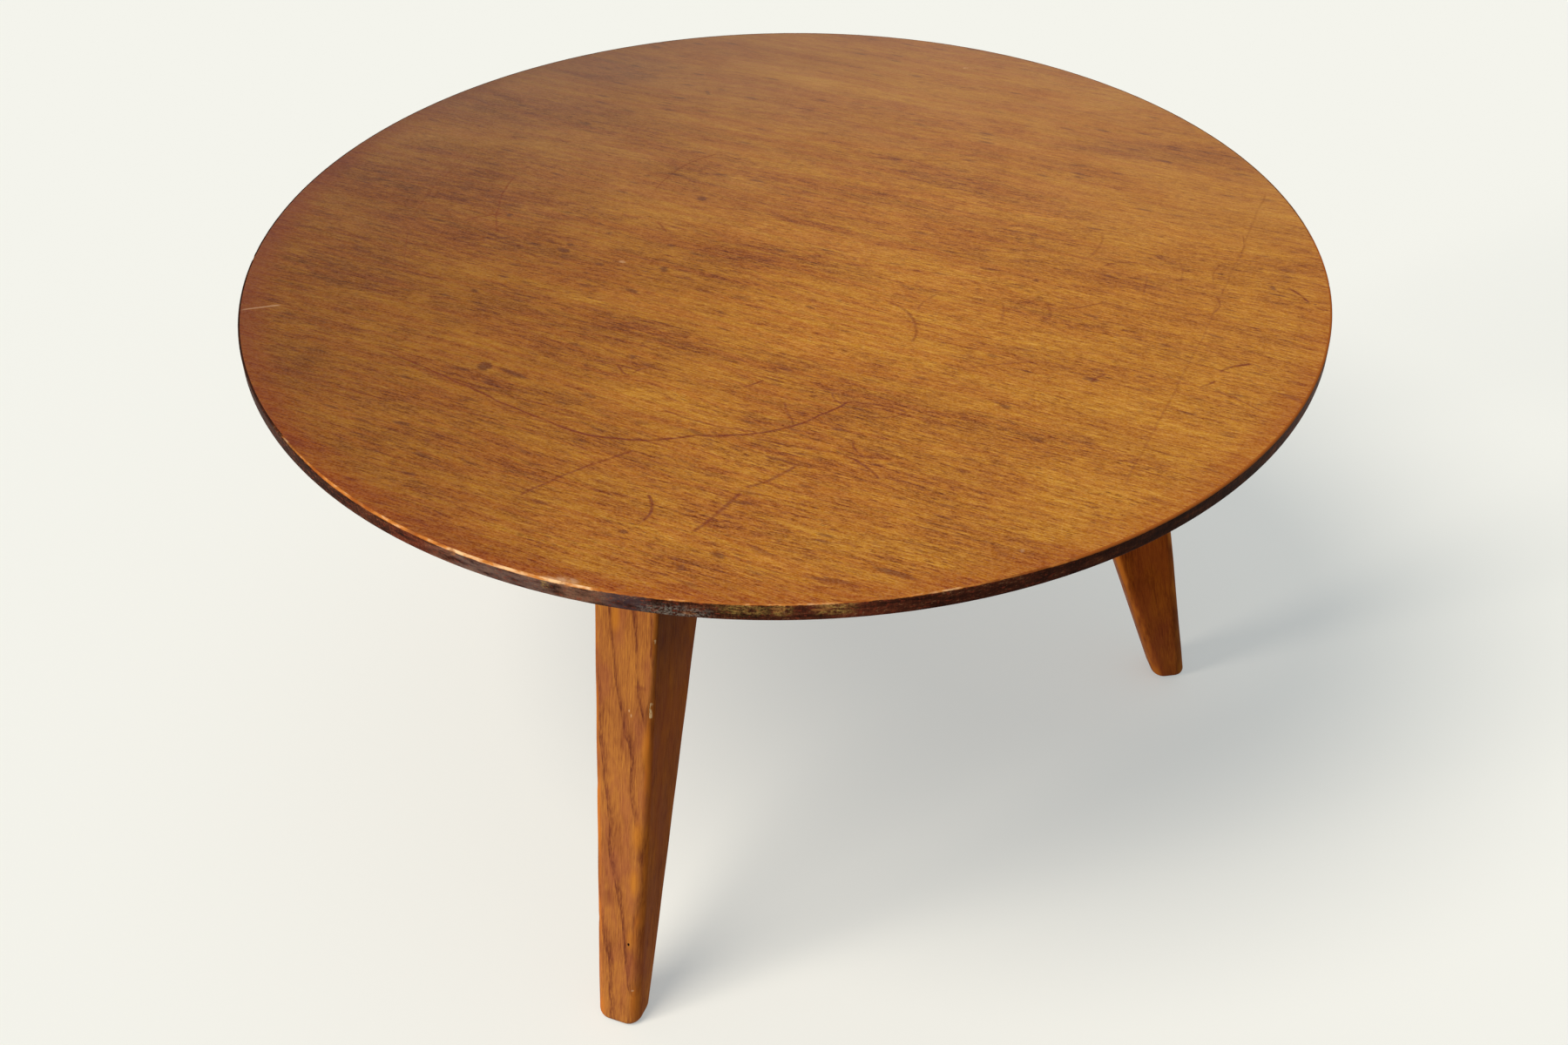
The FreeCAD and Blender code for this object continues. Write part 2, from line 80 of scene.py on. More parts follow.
# The leg's top and foot: how far from the table's axis their inner and outer edges lie, and how wide they are
LEVEL = 0.01 * MM
leg_points = points_of("leg_front")
LEG_HEIGHT = leg_points[:, 2].max()
leg_top = leg_points[leg_points[:, 2] > LEG_HEIGHT - LEVEL]
leg_foot = leg_points[leg_points[:, 2] < LEVEL]
LEG_TOP_INNER, LEG_TOP_OUTER = -leg_top[:, 1].max(), -leg_top[:, 1].min()
LEG_FOOT_INNER, LEG_FOOT_OUTER = -leg_foot[:, 1].max() - FOOT_ROUND, -leg_foot[:, 1].min() + FOOT_ROUND
LEG_TOP_WIDE = np.ptp(leg_top[:, 0])
LEG_FOOT_WIDE = np.ptp(leg_foot[:, 0]) + 2 * FOOT_ROUND
LEG_AZIMUTHS = {"leg_front": -90, "leg_back_right": 30, "leg_back_left": 150}

# Surfaces


def put(name, data):
    """A new object in the scene that holds this data."""
    added = bpy.data.objects.new(name, data)
    bpy.context.scene.collection.objects.link(added)
    return added


def closed_skin(name, rings, first_pole, last_pole, **values):
    """A closed mesh over a stack of closed rings of points.

    rings[i, j] is point j of ring i. A quad joins points j and j + 1 of rings i and i + 1, j counted round,
    and a fan of triangles closes each end on its pole. The faces are turned so that the volume inside, a
    sixth of the sum of a . (b x c) over all triangles, is positive. Each further value is a number per ring
    point, kept as an attribute of that name.
    """
    rows, columns = rings.shape[:2]
    points = np.concatenate([[first_pole], rings.reshape(-1, 3), [last_pole]])
    here = 1 + np.arange(rows * columns).reshape(rows, columns)
    beside = np.roll(here, -1, axis=1)
    quads = np.stack([here[:-1], beside[:-1], beside[1:], here[1:]], axis=-1).reshape(-1, 4)
    first_fan = np.stack([np.zeros(columns, int), beside[0], here[0]], axis=-1)
    last_fan = np.stack([np.full(columns, len(points) - 1), here[-1], beside[-1]], axis=-1)
    triangles = np.concatenate([quads[:, [0, 1, 2]], quads[:, [0, 2, 3]], first_fan, last_fan])
    a, b, c = points[triangles].transpose(1, 0, 2)
    order = 1 if np.einsum("ij,ij", a, np.cross(b, c)) > 0 else -1
    faces = quads[:, ::order].tolist() + np.concatenate([first_fan, last_fan])[:, ::order].tolist()
    mesh = bpy.data.meshes.new(name)
    mesh.from_pydata(points.tolist(), [], faces)
    mesh.polygons.foreach_set("use_smooth", np.ones(len(faces), bool))
    for key, value in values.items():
        padded = np.concatenate([[value[0].mean()], value.ravel(), [value[-1].mean()]])
        mesh.attributes.new(key, "FLOAT", "POINT").data.foreach_set("value", padded.astype(np.float32))
    mesh.update()
    piece = put(name, mesh)
    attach(piece, "root")
    return piece


def waves(place, size, count, seed):
    """A gentle uneven height between -1 and 1: the mean of count sines whose crests are about size apart.

    Sine k is sin(place . d_k + phase_k), d_k a direction drawn at random with a length near tau / size.
    """
    draw = np.random.default_rng(seed)
    directions = draw.normal(size=(count, place.shape[-1]))
    directions *= (tau / size * draw.uniform(0.6, 1.6, count) / np.linalg.norm(directions, axis=1))[:, None]
    return np.sin(place @ directions.T + draw.uniform(0, tau, count)).mean(-1)


def smooth(value, low, high):
    """0 below low, 1 above high and 3t^2 - 2t^3 between, t the share of the way."""
    share = np.clip((value - low) / (high - low), 0, 1)
    return share * share * (3 - 2 * share)


SHEET_EASE = 0.25 * MM
SHEET_DIP = 0.07 * MM
SHEET_WAVE = 130 * MM
SHEET_COLUMNS = 360
# Where the rings of the sheet's faces lie, as shares of its radius: even ones, then three close to the rim
SHEET_RINGS = np.concatenate([np.linspace(0.02, 0.96, 44), [0.985, 0.997, 0.9988]])


def veneer_sheet():
    """The top face veneer: a thin disc turned about the axis, its face dipping a little between high spots.

    Profile point k is (r_k, z_k): along the face from the middle, round a quarter circle of SHEET_EASE at
    each arris, and back along the glued face. Ring k is (r_k cos a, r_k sin a, z_k - dip), and dip, only on
    the face, is SHEET_DIP times half of 1 plus the waves.
    """
    turn = np.linspace(0, tau / 4, 5)
    out, up = SHEET_EASE * np.sin(turn), SHEET_EASE * np.cos(turn)
    across = SHEET_RINGS * SHEET_RIM
    flat_end = SHEET_RIM - SHEET_EASE
    radius = np.concatenate([across, flat_end + out, flat_end + up, across[::-1]])
    face, glued = TABLE_TOP, TABLE_TOP - SHEET_THICK
    height = np.concatenate([
        np.full(len(across), face),
        face - SHEET_EASE + up,
        glued + SHEET_EASE - out,
        np.full(len(across), glued),
    ])
    angle = np.linspace(0, tau, SHEET_COLUMNS, endpoint=False)
    rings = np.empty((len(radius), len(angle), 3))
    rings[..., 0] = radius[:, None] * np.cos(angle)
    rings[..., 1] = radius[:, None] * np.sin(angle)
    dip = SHEET_DIP * (1 + waves(rings[..., :2], SHEET_WAVE, 9, seed=4)) / 2
    on_face = (np.arange(len(radius)) < len(across)) * (1 - smooth(radius, 0.95 * SHEET_RIM, flat_end))
    rings[..., 2] = height[:, None] - dip * on_face[:, None]
    return closed_skin("veneer_sheet", rings, (0, 0, face - SHEET_DIP / 2), (0, 0, glued))


BAND_ARRIS = 0.9 * MM
BAND_WORN_ARRIS = 1.9 * MM
BAND_LOWER_ARRIS = 1.0 * MM
BAND_SEAM = 0.2 * MM
BAND_ROUGH = 0.06 * MM
BAND_STATIONS = 2600
# The worn stretch of the band, and how far its ends fade, in degrees
WORN_FROM, WORN_TO, WORN_FADE = -128, -48, 14
# Chips of the rim: azimuth in degrees, height as a share of the band's, and half length, half height and
# depth in millimetres
BAND_CHIPS = [
    (-87.4, 0.92, (4, 2.2, 0.7)),
    (-84.6, 0.98, (2.2, 1.4, 0.5)),
    (-98.6, 0.85, (3, 3, 0.6)),
    (-103.5, 0.95, (6, 1.6, 0.4)),
    (-110, 0.96, (3.5, 1.5, 0.5)),
    (-69.1, 0.72, (6, 3, 0.5)),
    (-65.4, 0.70, (8.5, 2.6, 0.5)),
    (-60.6, 0.97, (4, 1.4, 0.5)),
    (-76.5, 0.30, (9, 2.4, 0.3)),
    (-43, 0.98, (3, 1.3, 0.5)),
    (-27, 0.98, (2, 1.2, 0.4)),
    (14, 0.98, (2.5, 1.2, 0.4)),
    (128, 0.97, (3, 1.4, 0.5)),
    (201, 0.97, (4, 1.4, 0.5)),
]


def edge_band():
    """The dark band round the board, one strip bent round it whose ends all but meet at the back.

    At azimuth a the profile is a closed loop of (r, z): out along the top, a quarter circle of radius
    w(a) at the upper arris, down the outer face, a quarter circle at the lower arris and back up the glued
    wall. w(a) swells from BAND_ARRIS to BAND_WORN_ARRIS where hands and trays have worn it. The outer face
    is rough by BAND_ROUGH, and each chip pushes it in by its depth times 1 - d^2, d the distance from the
    chip's middle in its half sizes, a little unevenly.
    """
    gap = BAND_SEAM / 2 / RIM
    azimuth = np.linspace(radians(-270) + gap, radians(90) - gap, BAND_STATIONS)
    around = azimuth * RIM
    at = np.degrees(azimuth)
    used = smooth(at, WORN_FROM - WORN_FADE, WORN_FROM + WORN_FADE)
    used *= 1 - smooth(at, WORN_TO - WORN_FADE, WORN_TO + WORN_FADE)
    uneven = waves(around[:, None], 21 * MM, 7, seed=11) + 0.6 * waves(around[:, None], 6 * MM, 7, seed=12)
    worn = np.clip(0.15 + 0.85 * used + 0.5 * uneven * (0.25 + 0.75 * used), 0, 1)
    arris = BAND_ARRIS + (BAND_WORN_ARRIS - BAND_ARRIS) * worn

    turn = np.linspace(0, tau / 4, 8)
    steps = np.linspace(0, 1, 11)[1:-1]
    drop = arris[:, None]
    lip = np.minimum(drop, RIM - SHEET_RIM)
    low = BAND_LOWER_ARRIS
    face_high, face_low = TABLE_TOP - drop, BOARD_UNDERSIDE + low
    every = np.ones_like(drop)
    # The profile's stretches, each a radius and a height: out, round, down, round, back and up to the middle
    stretches = [
        (SHEET_RIM, TABLE_TOP * every),
        (RIM - lip * (1 - np.sin(turn)), TABLE_TOP - drop * (1 - np.cos(turn))),
        (RIM, face_high + (face_low - face_high) * steps),
        (RIM - low * (1 - np.cos(turn)), (BOARD_UNDERSIDE + low * (1 - np.sin(turn))) * every),
        (SHEET_RIM, BOARD_UNDERSIDE * every),
        (SHEET_RIM, (TABLE_TOP + BOARD_UNDERSIDE) / 2 * every),
    ]
    filled = (np.broadcast_arrays(*stretch) for stretch in stretches)
    radius, height = (np.concatenate(part, axis=1) for part in zip(*filled))

    chipped = np.zeros_like(radius)
    for middle, share, sizes in BAND_CHIPS:
        half_long, half_high, depth = metres(sizes)
        along = (around - radians((middle + 270) % 360 - 270) * RIM)[:, None] / half_long
        up = (height - BOARD_UNDERSIDE - share * BAND_HIGH) / half_high
        chipped = np.maximum(chipped, depth * np.clip(1 - along**2 - up**2, 0, 1))
    length, wear = (np.broadcast_to(part[:, None], radius.shape) for part in (around, worn))
    place = np.stack([length, height], axis=-1)
    rough = BAND_ROUGH * (waves(place, 9 * MM, 12, seed=3) - 1)
    # 1 on the outer face and 0 on the glued wall, which stays true
    outside = smooth(radius, SHEET_RIM + 0.3 * MM, RIM - 0.3 * MM)
    out = radius + (rough - chipped * (0.8 + 0.2 * waves(place, 3 * MM, 9, seed=5))) * outside
    rings = np.stack([out * np.cos(azimuth)[:, None], out * np.sin(azimuth)[:, None], height], axis=-1)
    first, last = rings[0].mean(0), rings[-1].mean(0)
    return closed_skin("rim_band", rings, first, last, around=length, wear=wear, chip=chipped / MM)


def section_form(side_steps, arc_steps):
    """A rounded rectangle's points as four arrays: (sx, sy) a corner's side and (cx, cy) a direction.

    A point is (sx (a - r) + r cx, sy (b - r) + r cy) for half sizes a, b and corner radius r: on an arc the
    signs stay and the direction turns, and on a flat the direction stays and the signs run from 1 to -1.
    """
    corners = np.array([(1, 1), (-1, 1), (-1, -1), (1, -1)])
    # The points across a flat, the first and last close to its ends so that the arcs' shading stops there
    share = np.concatenate([[0.012], np.linspace(0, 1, side_steps + 2)[1:-1], [0.988]])[:, None]
    rows = []
    for number, corner in enumerate(corners):
        angle = tau / 4 * (number + np.linspace(0, 1, arc_steps))
        facing = np.stack([np.cos(angle), np.sin(angle)], axis=1)
        rows.append(np.concatenate([np.repeat([corner], arc_steps, axis=0), facing], axis=1))
        signs = corner * (1 - share) + corners[(number + 1) % 4] * share
        rows.append(np.concatenate([signs, np.repeat(facing[-1:], len(share), axis=0)], axis=1))
    return np.concatenate(rows).T


LEG_RINGS = 170
RIDGE_WAVER = 0.15
LEG_TOOLED = 0.07 * MM
# How far inside its edge the last ring of a leg's top and of its foot lies
TOP_INSET, FOOT_INSET = 2 * MM, 1 * MM
# Knocks on the front leg's outer ridges: height, half length and depth in millimetres, and the ridge's side
LEG_KNOCKS = [
    (288, 11, 1.1, 1),
    (247, 16, 0.7, 1),
    (168, 10, 0.6, 1),
    (115, 14, 0.8, 1),
    (343, 5, 0.5, 1),
    (214, 9, 0.5, -1),
    (92, 7, 0.6, -1),
]


def shaped_leg(node, seed):
    """One leg: a rounded rectangle that shrinks from the board to the foot, with softening corners.

    At height z the inner and outer faces and the half width run straight from their places at the top to
    those at the foot, and the corner radius grows from TOP_CORNER to FOOT_CORNER. Below FOOT_ROUND the
    section draws in by e(z) = f - sqrt(f^2 - (f - z)^2), a quarter circle. A knock takes 0.7 of its depth
    off a ridge, times the cube of 1 - ((z - z0) / half length)^2, and long waves of tool marks take up to
    twice LEG_TOOLED off every face.
    """
    foot_turn = np.linspace(0, tau / 4, 9)
    foot_z = FOOT_ROUND * (1 - np.sin(foot_turn))
    body_z = np.linspace(LEG_HEIGHT, FOOT_ROUND, LEG_RINGS)
    # A ring just under the top keeps the shading of its edge narrow
    body_z[1] = LEG_HEIGHT - 0.3 * MM
    z = np.concatenate([[LEG_HEIGHT], body_z, foot_z[1:], [0]])[:, None]
    rounding = FOOT_ROUND * (1 - np.cos(foot_turn[1:]))
    draw_in = np.concatenate([[TOP_INSET], np.zeros(LEG_RINGS), rounding, [FOOT_ROUND + FOOT_INSET]])[:, None]
    down = 1 - z / LEG_HEIGHT
    inner = LEG_TOP_INNER + (LEG_FOOT_INNER - LEG_TOP_INNER) * down
    outer = LEG_TOP_OUTER + (LEG_FOOT_OUTER - LEG_TOP_OUTER) * down
    half_deep = (outer - inner) / 2 - draw_in
    half_wide = (LEG_TOP_WIDE + (LEG_FOOT_WIDE - LEG_TOP_WIDE) * down) / 2 - draw_in
    waver = 1 + RIDGE_WAVER * smooth(down, 0.03, 0.15) * waves(z, 90 * MM, 5, seed=seed)[:, None]
    corner = (TOP_CORNER + (FOOT_CORNER - TOP_CORNER) * down) * waver - draw_in
    corner = np.clip(corner, 1.2 * MM, 0.95 * np.minimum(half_deep, half_wide))

    sx, sy, cx, cy = section_form(side_steps=14, arc_steps=9)
    reach = (inner + outer) / 2 + sx * (half_deep - corner) + corner * cx
    side = sy * (half_wide - corner) + corner * cy
    level, ridge, sideways = (
        np.broadcast_to(part, reach.shape) for part in (z, np.clip(2 * np.abs(cx * cy), 0, 1), cy**2)
    )
    flatten = np.zeros_like(reach)
    if node == "leg_front":
        for *sizes, which in LEG_KNOCKS:
            middle, half_long, depth = metres(sizes)
            near = np.clip(1 - ((z - middle) / half_long) ** 2, 0, 1) ** 3
            flatten += depth * near * (cx > 0.02) * (which * cy > 0.02) * ridge
    place = np.stack([reach, side, level], axis=-1)
    tooled = LEG_TOOLED * smooth(down, 0.02, 0.1) * (1 - waves(place, 60 * MM, 10, seed=seed + 1))
    inward = flatten * 0.7 + tooled
    reach, side = reach - inward * cx, side - inward * cy

    azimuth = radians(LEG_AZIMUTHS[node])
    rings = np.stack([
        reach * cos(azimuth) - side * sin(azimuth),
        reach * sin(azimuth) + side * cos(azimuth),
        level,
    ], axis=-1)
    first, last = rings[0].mean(0), rings[-1].mean(0)
    return closed_skin(
        node + "_shaped", rings, first, last, ridge=ridge, side=sideways, knock=flatten / MM,
    )


# Finishes: the small language that they are written in


class Field:
    """One output of a finish's node tree; arithmetic on it adds Math nodes."""

    def __init__(self, finish, socket):
        self.finish = finish
        self.socket = socket

    def math(self, operation, *others):
        """What a Math node makes of this field and the others."""
        return self.finish.node("ShaderNodeMath", {"operation": operation}, dict(enumerate((self, *others))))

    def __add__(self, other):
        return self.math("ADD", other)

    def __sub__(self, other):
        return self.math("SUBTRACT", other)

    def __mul__(self, other):
        return self.math("MULTIPLY", other)

    def __truediv__(self, other):
        return self.math("DIVIDE", other)

    def __rsub__(self, other):
        return self.finish.node("ShaderNodeMath", {"operation": "SUBTRACT"}, {0: other, 1: self})

    __radd__ = __add__
    __rmul__ = __mul__

    def most(self, other):
        """The larger of this field and another."""
        return self.math("MAXIMUM", other)

    def rise(self, low, high, start=0.0, end=1.0):
        """From start below low to end above high, smoothly between."""
        sockets = {"Value": self, "From Min": low, "From Max": high, "To Min": start, "To Max": end}
        return self.finish.node("ShaderNodeMapRange", {"interpolation_type": "SMOOTHSTEP"}, sockets)

    def fall(self, low, high):
        """1 below low and 0 above high, smoothly between."""
        return self.rise(low, high, 1.0, 0.0)

    def other(self, name):
        """Another output of the node that this one comes from."""
        return Field(self.finish, self.socket.node.outputs[name])


class Finish:
    """The nodes of one material, or of the world, while they are drawn; node() adds any node."""

    def __init__(self, owner):
        owner.use_nodes = True
        self.owner = owner
        self.tree = owner.node_tree
        self.tree.nodes.clear()

    def node(self, kind, settings, inputs, output=0):
        """Adds a node: its settings first, a ramp's stops among them, then each socket's value or link."""
        added = self.tree.nodes.new(kind)
        for key, value in settings.items():
            if key == "stops":
                self.set_stops(added.color_ramp, value)
            else:
                setattr(added, key, value)
        for key, value in inputs.items():
            if isinstance(value, Field):
                self.tree.links.new(value.socket, added.inputs[key])
            else:
                added.inputs[key].default_value = value
        return Field(self, added.outputs[output]) if added.outputs else None

    @staticmethod
    def set_stops(ramp, stops):
        """Gives a colour ramp its stops, each a place and a colour."""
        while len(ramp.elements) < len(stops):
            ramp.elements.new(1)
        for element, (place, colour) in zip(ramp.elements, stops):
            element.position = place
            element.color = colour

    def place(self):
        """The piece's own coordinates, in metres."""
        return self.node("ShaderNodeTexCoord", {}, {}, "Object")

    def mapped(self, place, size=(1, 1, 1), centre=(0, 0, 0), turn=(0, 0, 0)):
        """place measured from centre, along turned axes (degrees), in units of size."""
        sockets = {"Vector": place, "Location": centre, "Rotation": [radians(t) for t in turn], "Scale": size}
        return self.node("ShaderNodeMapping", {"vector_type": "TEXTURE"}, sockets)

    def noise(self, place, size, detail=2.0, roughness=0.5, shift=(0, 0, 0)):
        """Soft noise, 0 to 1, whose lumps are about size, three lengths in metres."""
        lumps = self.mapped(place, size, shift)
        sockets = {"Vector": lumps, "Scale": 1.0, "Detail": detail, "Roughness": roughness}
        return self.node("ShaderNodeTexNoise", {}, sockets)

    def cells(self, place, size):
        """Distance from the middle of the nearest cell of a random pattern with cells about size."""
        sockets = {"Vector": self.mapped(place, size), "Scale": 1.0}
        return self.node("ShaderNodeTexVoronoi", {"feature": "F1"}, sockets, "Distance")

    def separate(self, vector):
        """The three numbers of a vector."""
        x = self.node("ShaderNodeSeparateXYZ", {}, {0: vector})
        return x, x.other("Y"), x.other("Z")

    def vector(self, operation, first, second=(0, 0, 0), output="Vector"):
        """What a Vector Math node makes of two vectors, either of them fixed or varying."""
        return self.node("ShaderNodeVectorMath", {"operation": operation}, {0: first, 1: second}, output)

    def length(self, vector):
        return self.vector("LENGTH", vector, output="Value")

    def along(self, vector, direction):
        """How far vector reaches along a fixed direction, in lengths of it."""
        return self.vector("DOT_PRODUCT", vector, direction, "Value")

    def joined(self, x=0.0, y=0.0):
        """The vector x, y, 0."""
        return self.node("ShaderNodeCombineXYZ", {}, {0: x, 1: y})

    def moved(self, place, x=0.0, y=0.0):
        """place with x and y added to its first two numbers."""
        return self.vector("ADD", place, self.joined(x, y))

    def attribute(self, name):
        """A number kept on the piece's points."""
        return self.node("ShaderNodeAttribute", {"attribute_name": name}, {}, "Fac")

    def mix(self, share, first, second, way="MIX"):
        """first where share is 0 and second where it is 1, both colours."""
        settings = {"data_type": "RGBA", "blend_type": way}
        return self.node("ShaderNodeMix", settings, {0: share, 6: first, 7: second}, 2)

    def ramp(self, share, *stops):
        """The colour at share, between stops of a place and a colour."""
        return self.node("ShaderNodeValToRGB", {"stops": stops}, {0: share})

    def bump(self, height, distance, under=None):
        """A normal tilted by height, a number near 0 to 1 that stands for distance in metres."""
        sockets = {"Height": height, "Distance": distance}
        if under:
            sockets["Normal"] = under
        return self.node("ShaderNodeBump", {}, sockets)

    def surface(self, **sockets):
        """The finished material: a Principled shader, its sockets named with underscores for spaces."""
        named = {key.replace("_", " "): value for key, value in sockets.items()}
        shader = self.node("ShaderNodeBsdfPrincipled", {}, named)
        self.node("ShaderNodeOutputMaterial", {}, {"Surface": shader})
        return self.owner


def tint(red, green, blue):
    """A colour of a 0 to 255 scale as the linear colour that a shader takes."""
    share = np.array([red, green, blue]) / 255
    linear = np.where(share <= 0.04045, share / 12.92, ((share + 0.055) / 1.055) ** 2.4)
    return (*linear.tolist(), 1.0)


def strongest(values):
    """The largest of several fields at each point."""
    return reduce(Field.most, values)


def spot(finish, flat, middle, half_size, turn):
    """1 in the middle of an oval patch of the top, falling to 0 at its edge; lengths in millimetres.

    It falls with u^2 + v^2, u and v the distances along the turned axes as shares of the half sizes.
    """
    away = finish.vector("SUBTRACT", flat, (*metres(middle), 0))
    half_long, half_wide = metres(half_size)
    c, s = cos(radians(turn)), sin(radians(turn))
    u = finish.along(away, (c / half_long, s / half_long, 0))
    v = finish.along(away, (-s / half_wide, c / half_wide, 0))
    return (u * u + v * v).fall(0.1, 1.3)


def spots(finish, flat, marks):
    """The strongest of several patches, each with a weight first and then what spot() takes."""
    return strongest(spot(finish, flat, *mark) * weight for weight, *mark in marks)


def scratch(finish, flat, start, through, end, half_wide):
    """A scratch in the top along the arc through three points, all in millimetres.

    The arc's centre c is the point as far from all three. Across the arc the scratch falls to 0 at
    half_wide from its line, | |p - c| - r |, and along it, by (p - c) . m > |p - c| cos h, m the direction
    of the arc's middle and h half its angle.
    """
    a, b, c = (np.array(p, float) * MM for p in (start, through, end))
    sides = 2 * np.array([b - a, c - a])
    centre = np.linalg.solve(sides, [b @ b - a @ a, c @ c - a @ a])
    radius = np.linalg.norm(a - centre)
    chord = (a + c) / 2
    middle = (chord - centre) * np.sign((b - chord) @ (chord - centre))
    middle /= np.linalg.norm(middle)
    reach = (a - centre) @ middle / radius
    from_centre = finish.vector("SUBTRACT", flat, (*centre, 0))
    distance = finish.length(from_centre)
    across = (distance - radius).math("ABSOLUTE").fall(0.2 * half_wide * MM, 1.4 * half_wide * MM)
    soft = min(2 * MM / radius, 0.3) * max((1 - reach * reach) ** 0.5, 0.02)
    return across * (finish.along(from_centre, (*middle, 0)) / distance).rise(reach - soft, reach + soft)


def scratches(finish, flat, lines):
    """The strongest of several scratches, each with a weight first and then what scratch() takes."""
    return strongest(scratch(finish, flat, *line) * weight for weight, *line in lines)


# The scratches of the top: weight, start, a point on the way, end and half width, in millimetres
SCRATCHES = [
    (1.0, (-211, -219), (-133, -239), (-57, -258), 0.9),
    (1.0, (-60, -257.5), (-17, -257), (31, -236), 1.2),
    (1.0, (30, -236), (75, -214), (111, -165), 1.1),
    (0.7, (111, -165), (131, -161.5), (152, -164), 0.8),
    (0.5, (128, -177), (141, -173), (152, -164), 0.8),
    (0.8, (98, -158), (104, -167), (112, -170), 1.0),
    (0.6, (-1, -216), (30, -221), (66, -219), 1.0),
    (0.5, (70, -226), (112, -223), (158, -217), 1.0),
    (0.6, (72, -180), (79, -191), (86, -199), 1.1),
    (0.9, (129, -223), (146, -229), (159, -238), 1.1),
    (0.7, (129, -207), (133, -214), (139, -218), 1.0),
    (0.9, (82, -240), (97, -242.5), (114, -242), 0.9),
    (0.75, (104, -243), (97, -259), (82, -275), 1.4),
    (0.8, (81, -283), (78, -301), (69, -328), 1.6),
    (0.75, (-47, -332), (-26, -299), (0, -265), 1.1),
    (1.0, (30, -305), (37, -317), (36, -329), 1.3),
    (0.65, (97, -37), (119, -52), (127, -81), 1.4),
    (0.45, (119, -40), (119, -28), (125, -15), 1.2),
    (0.6, (215, -2), (229, 6), (242, 18), 1.0),
    (0.45, (202, 0), (207, -9), (210, -19), 1.2),
    (0.35, (172, -9), (176, -20), (178, -31), 1.2),
    (0.9, (257, -86), (260, -79), (264, -74), 1.5),
    (0.5, (176, -98), (196, -85), (216, -75), 1.0),
    (1.0, (360, 82), (369, 75), (377, 67), 1.3),
    (1.0, (335, -42.5), (341, -35), (354, -27), 1.2),
    (0.8, (327, -65), (331, -61), (335, -55), 1.0),
    (0.7, (328, -63), (348, -71), (369, -80), 0.8),
    (0.6, (290, -35), (313, -38.5), (336, -41), 1.0),
    (0.6, (228, 66), (246, 77.5), (265, 74), 1.1),
    (0.4, (261, 65), (264, 51), (265, 36), 1.0),
    (0.35, (278, 97), (283, 81), (286, 64), 1.0),
    (0.4, (215, 114), (218.5, 95), (216, 76), 1.4),
    (0.45, (308, 97), (306, 84), (309, 70), 0.9),
    (0.6, (315, 52), (319, 41), (316, 28), 0.9),
    (0.5, (316, 146), (319, 132), (318, 118), 0.9),
    (0.3, (320, 215), (316, 10), (304, -189), 1.0),
    (0.6, (-250, -38), (-242, -28), (-229, -18), 1.3),
    (0.4, (-286, -47), (-268, -41), (-250, -37), 1.0),
    (0.55, (-249, 38), (-240, -2), (-219, -44), 1.0),
    (0.6, (-109, 11), (-102, 6), (-97, 0), 1.2),
    (0.45, (-132, 57), (-130, 90), (-111, 131), 1.0),
    (0.8, (-51, -179), (-45, -185), (-39, -188), 1.1),
    (0.7, (-39, -185), (-36, -179), (-31, -175), 1.0),
    (0.8, (40, -172), (45, -167.5), (49, -161), 1.1),
    (0.35, (98, 196), (55, 180), (10, 168), 1.0),
    (0.3, (-300, 60), (-295, -30), (-262, -110), 0.8),
]
PALE_SCRATCHES = [(0.55, (-338, -208), (-327, -200.6), (-316, -194), 1.0)]

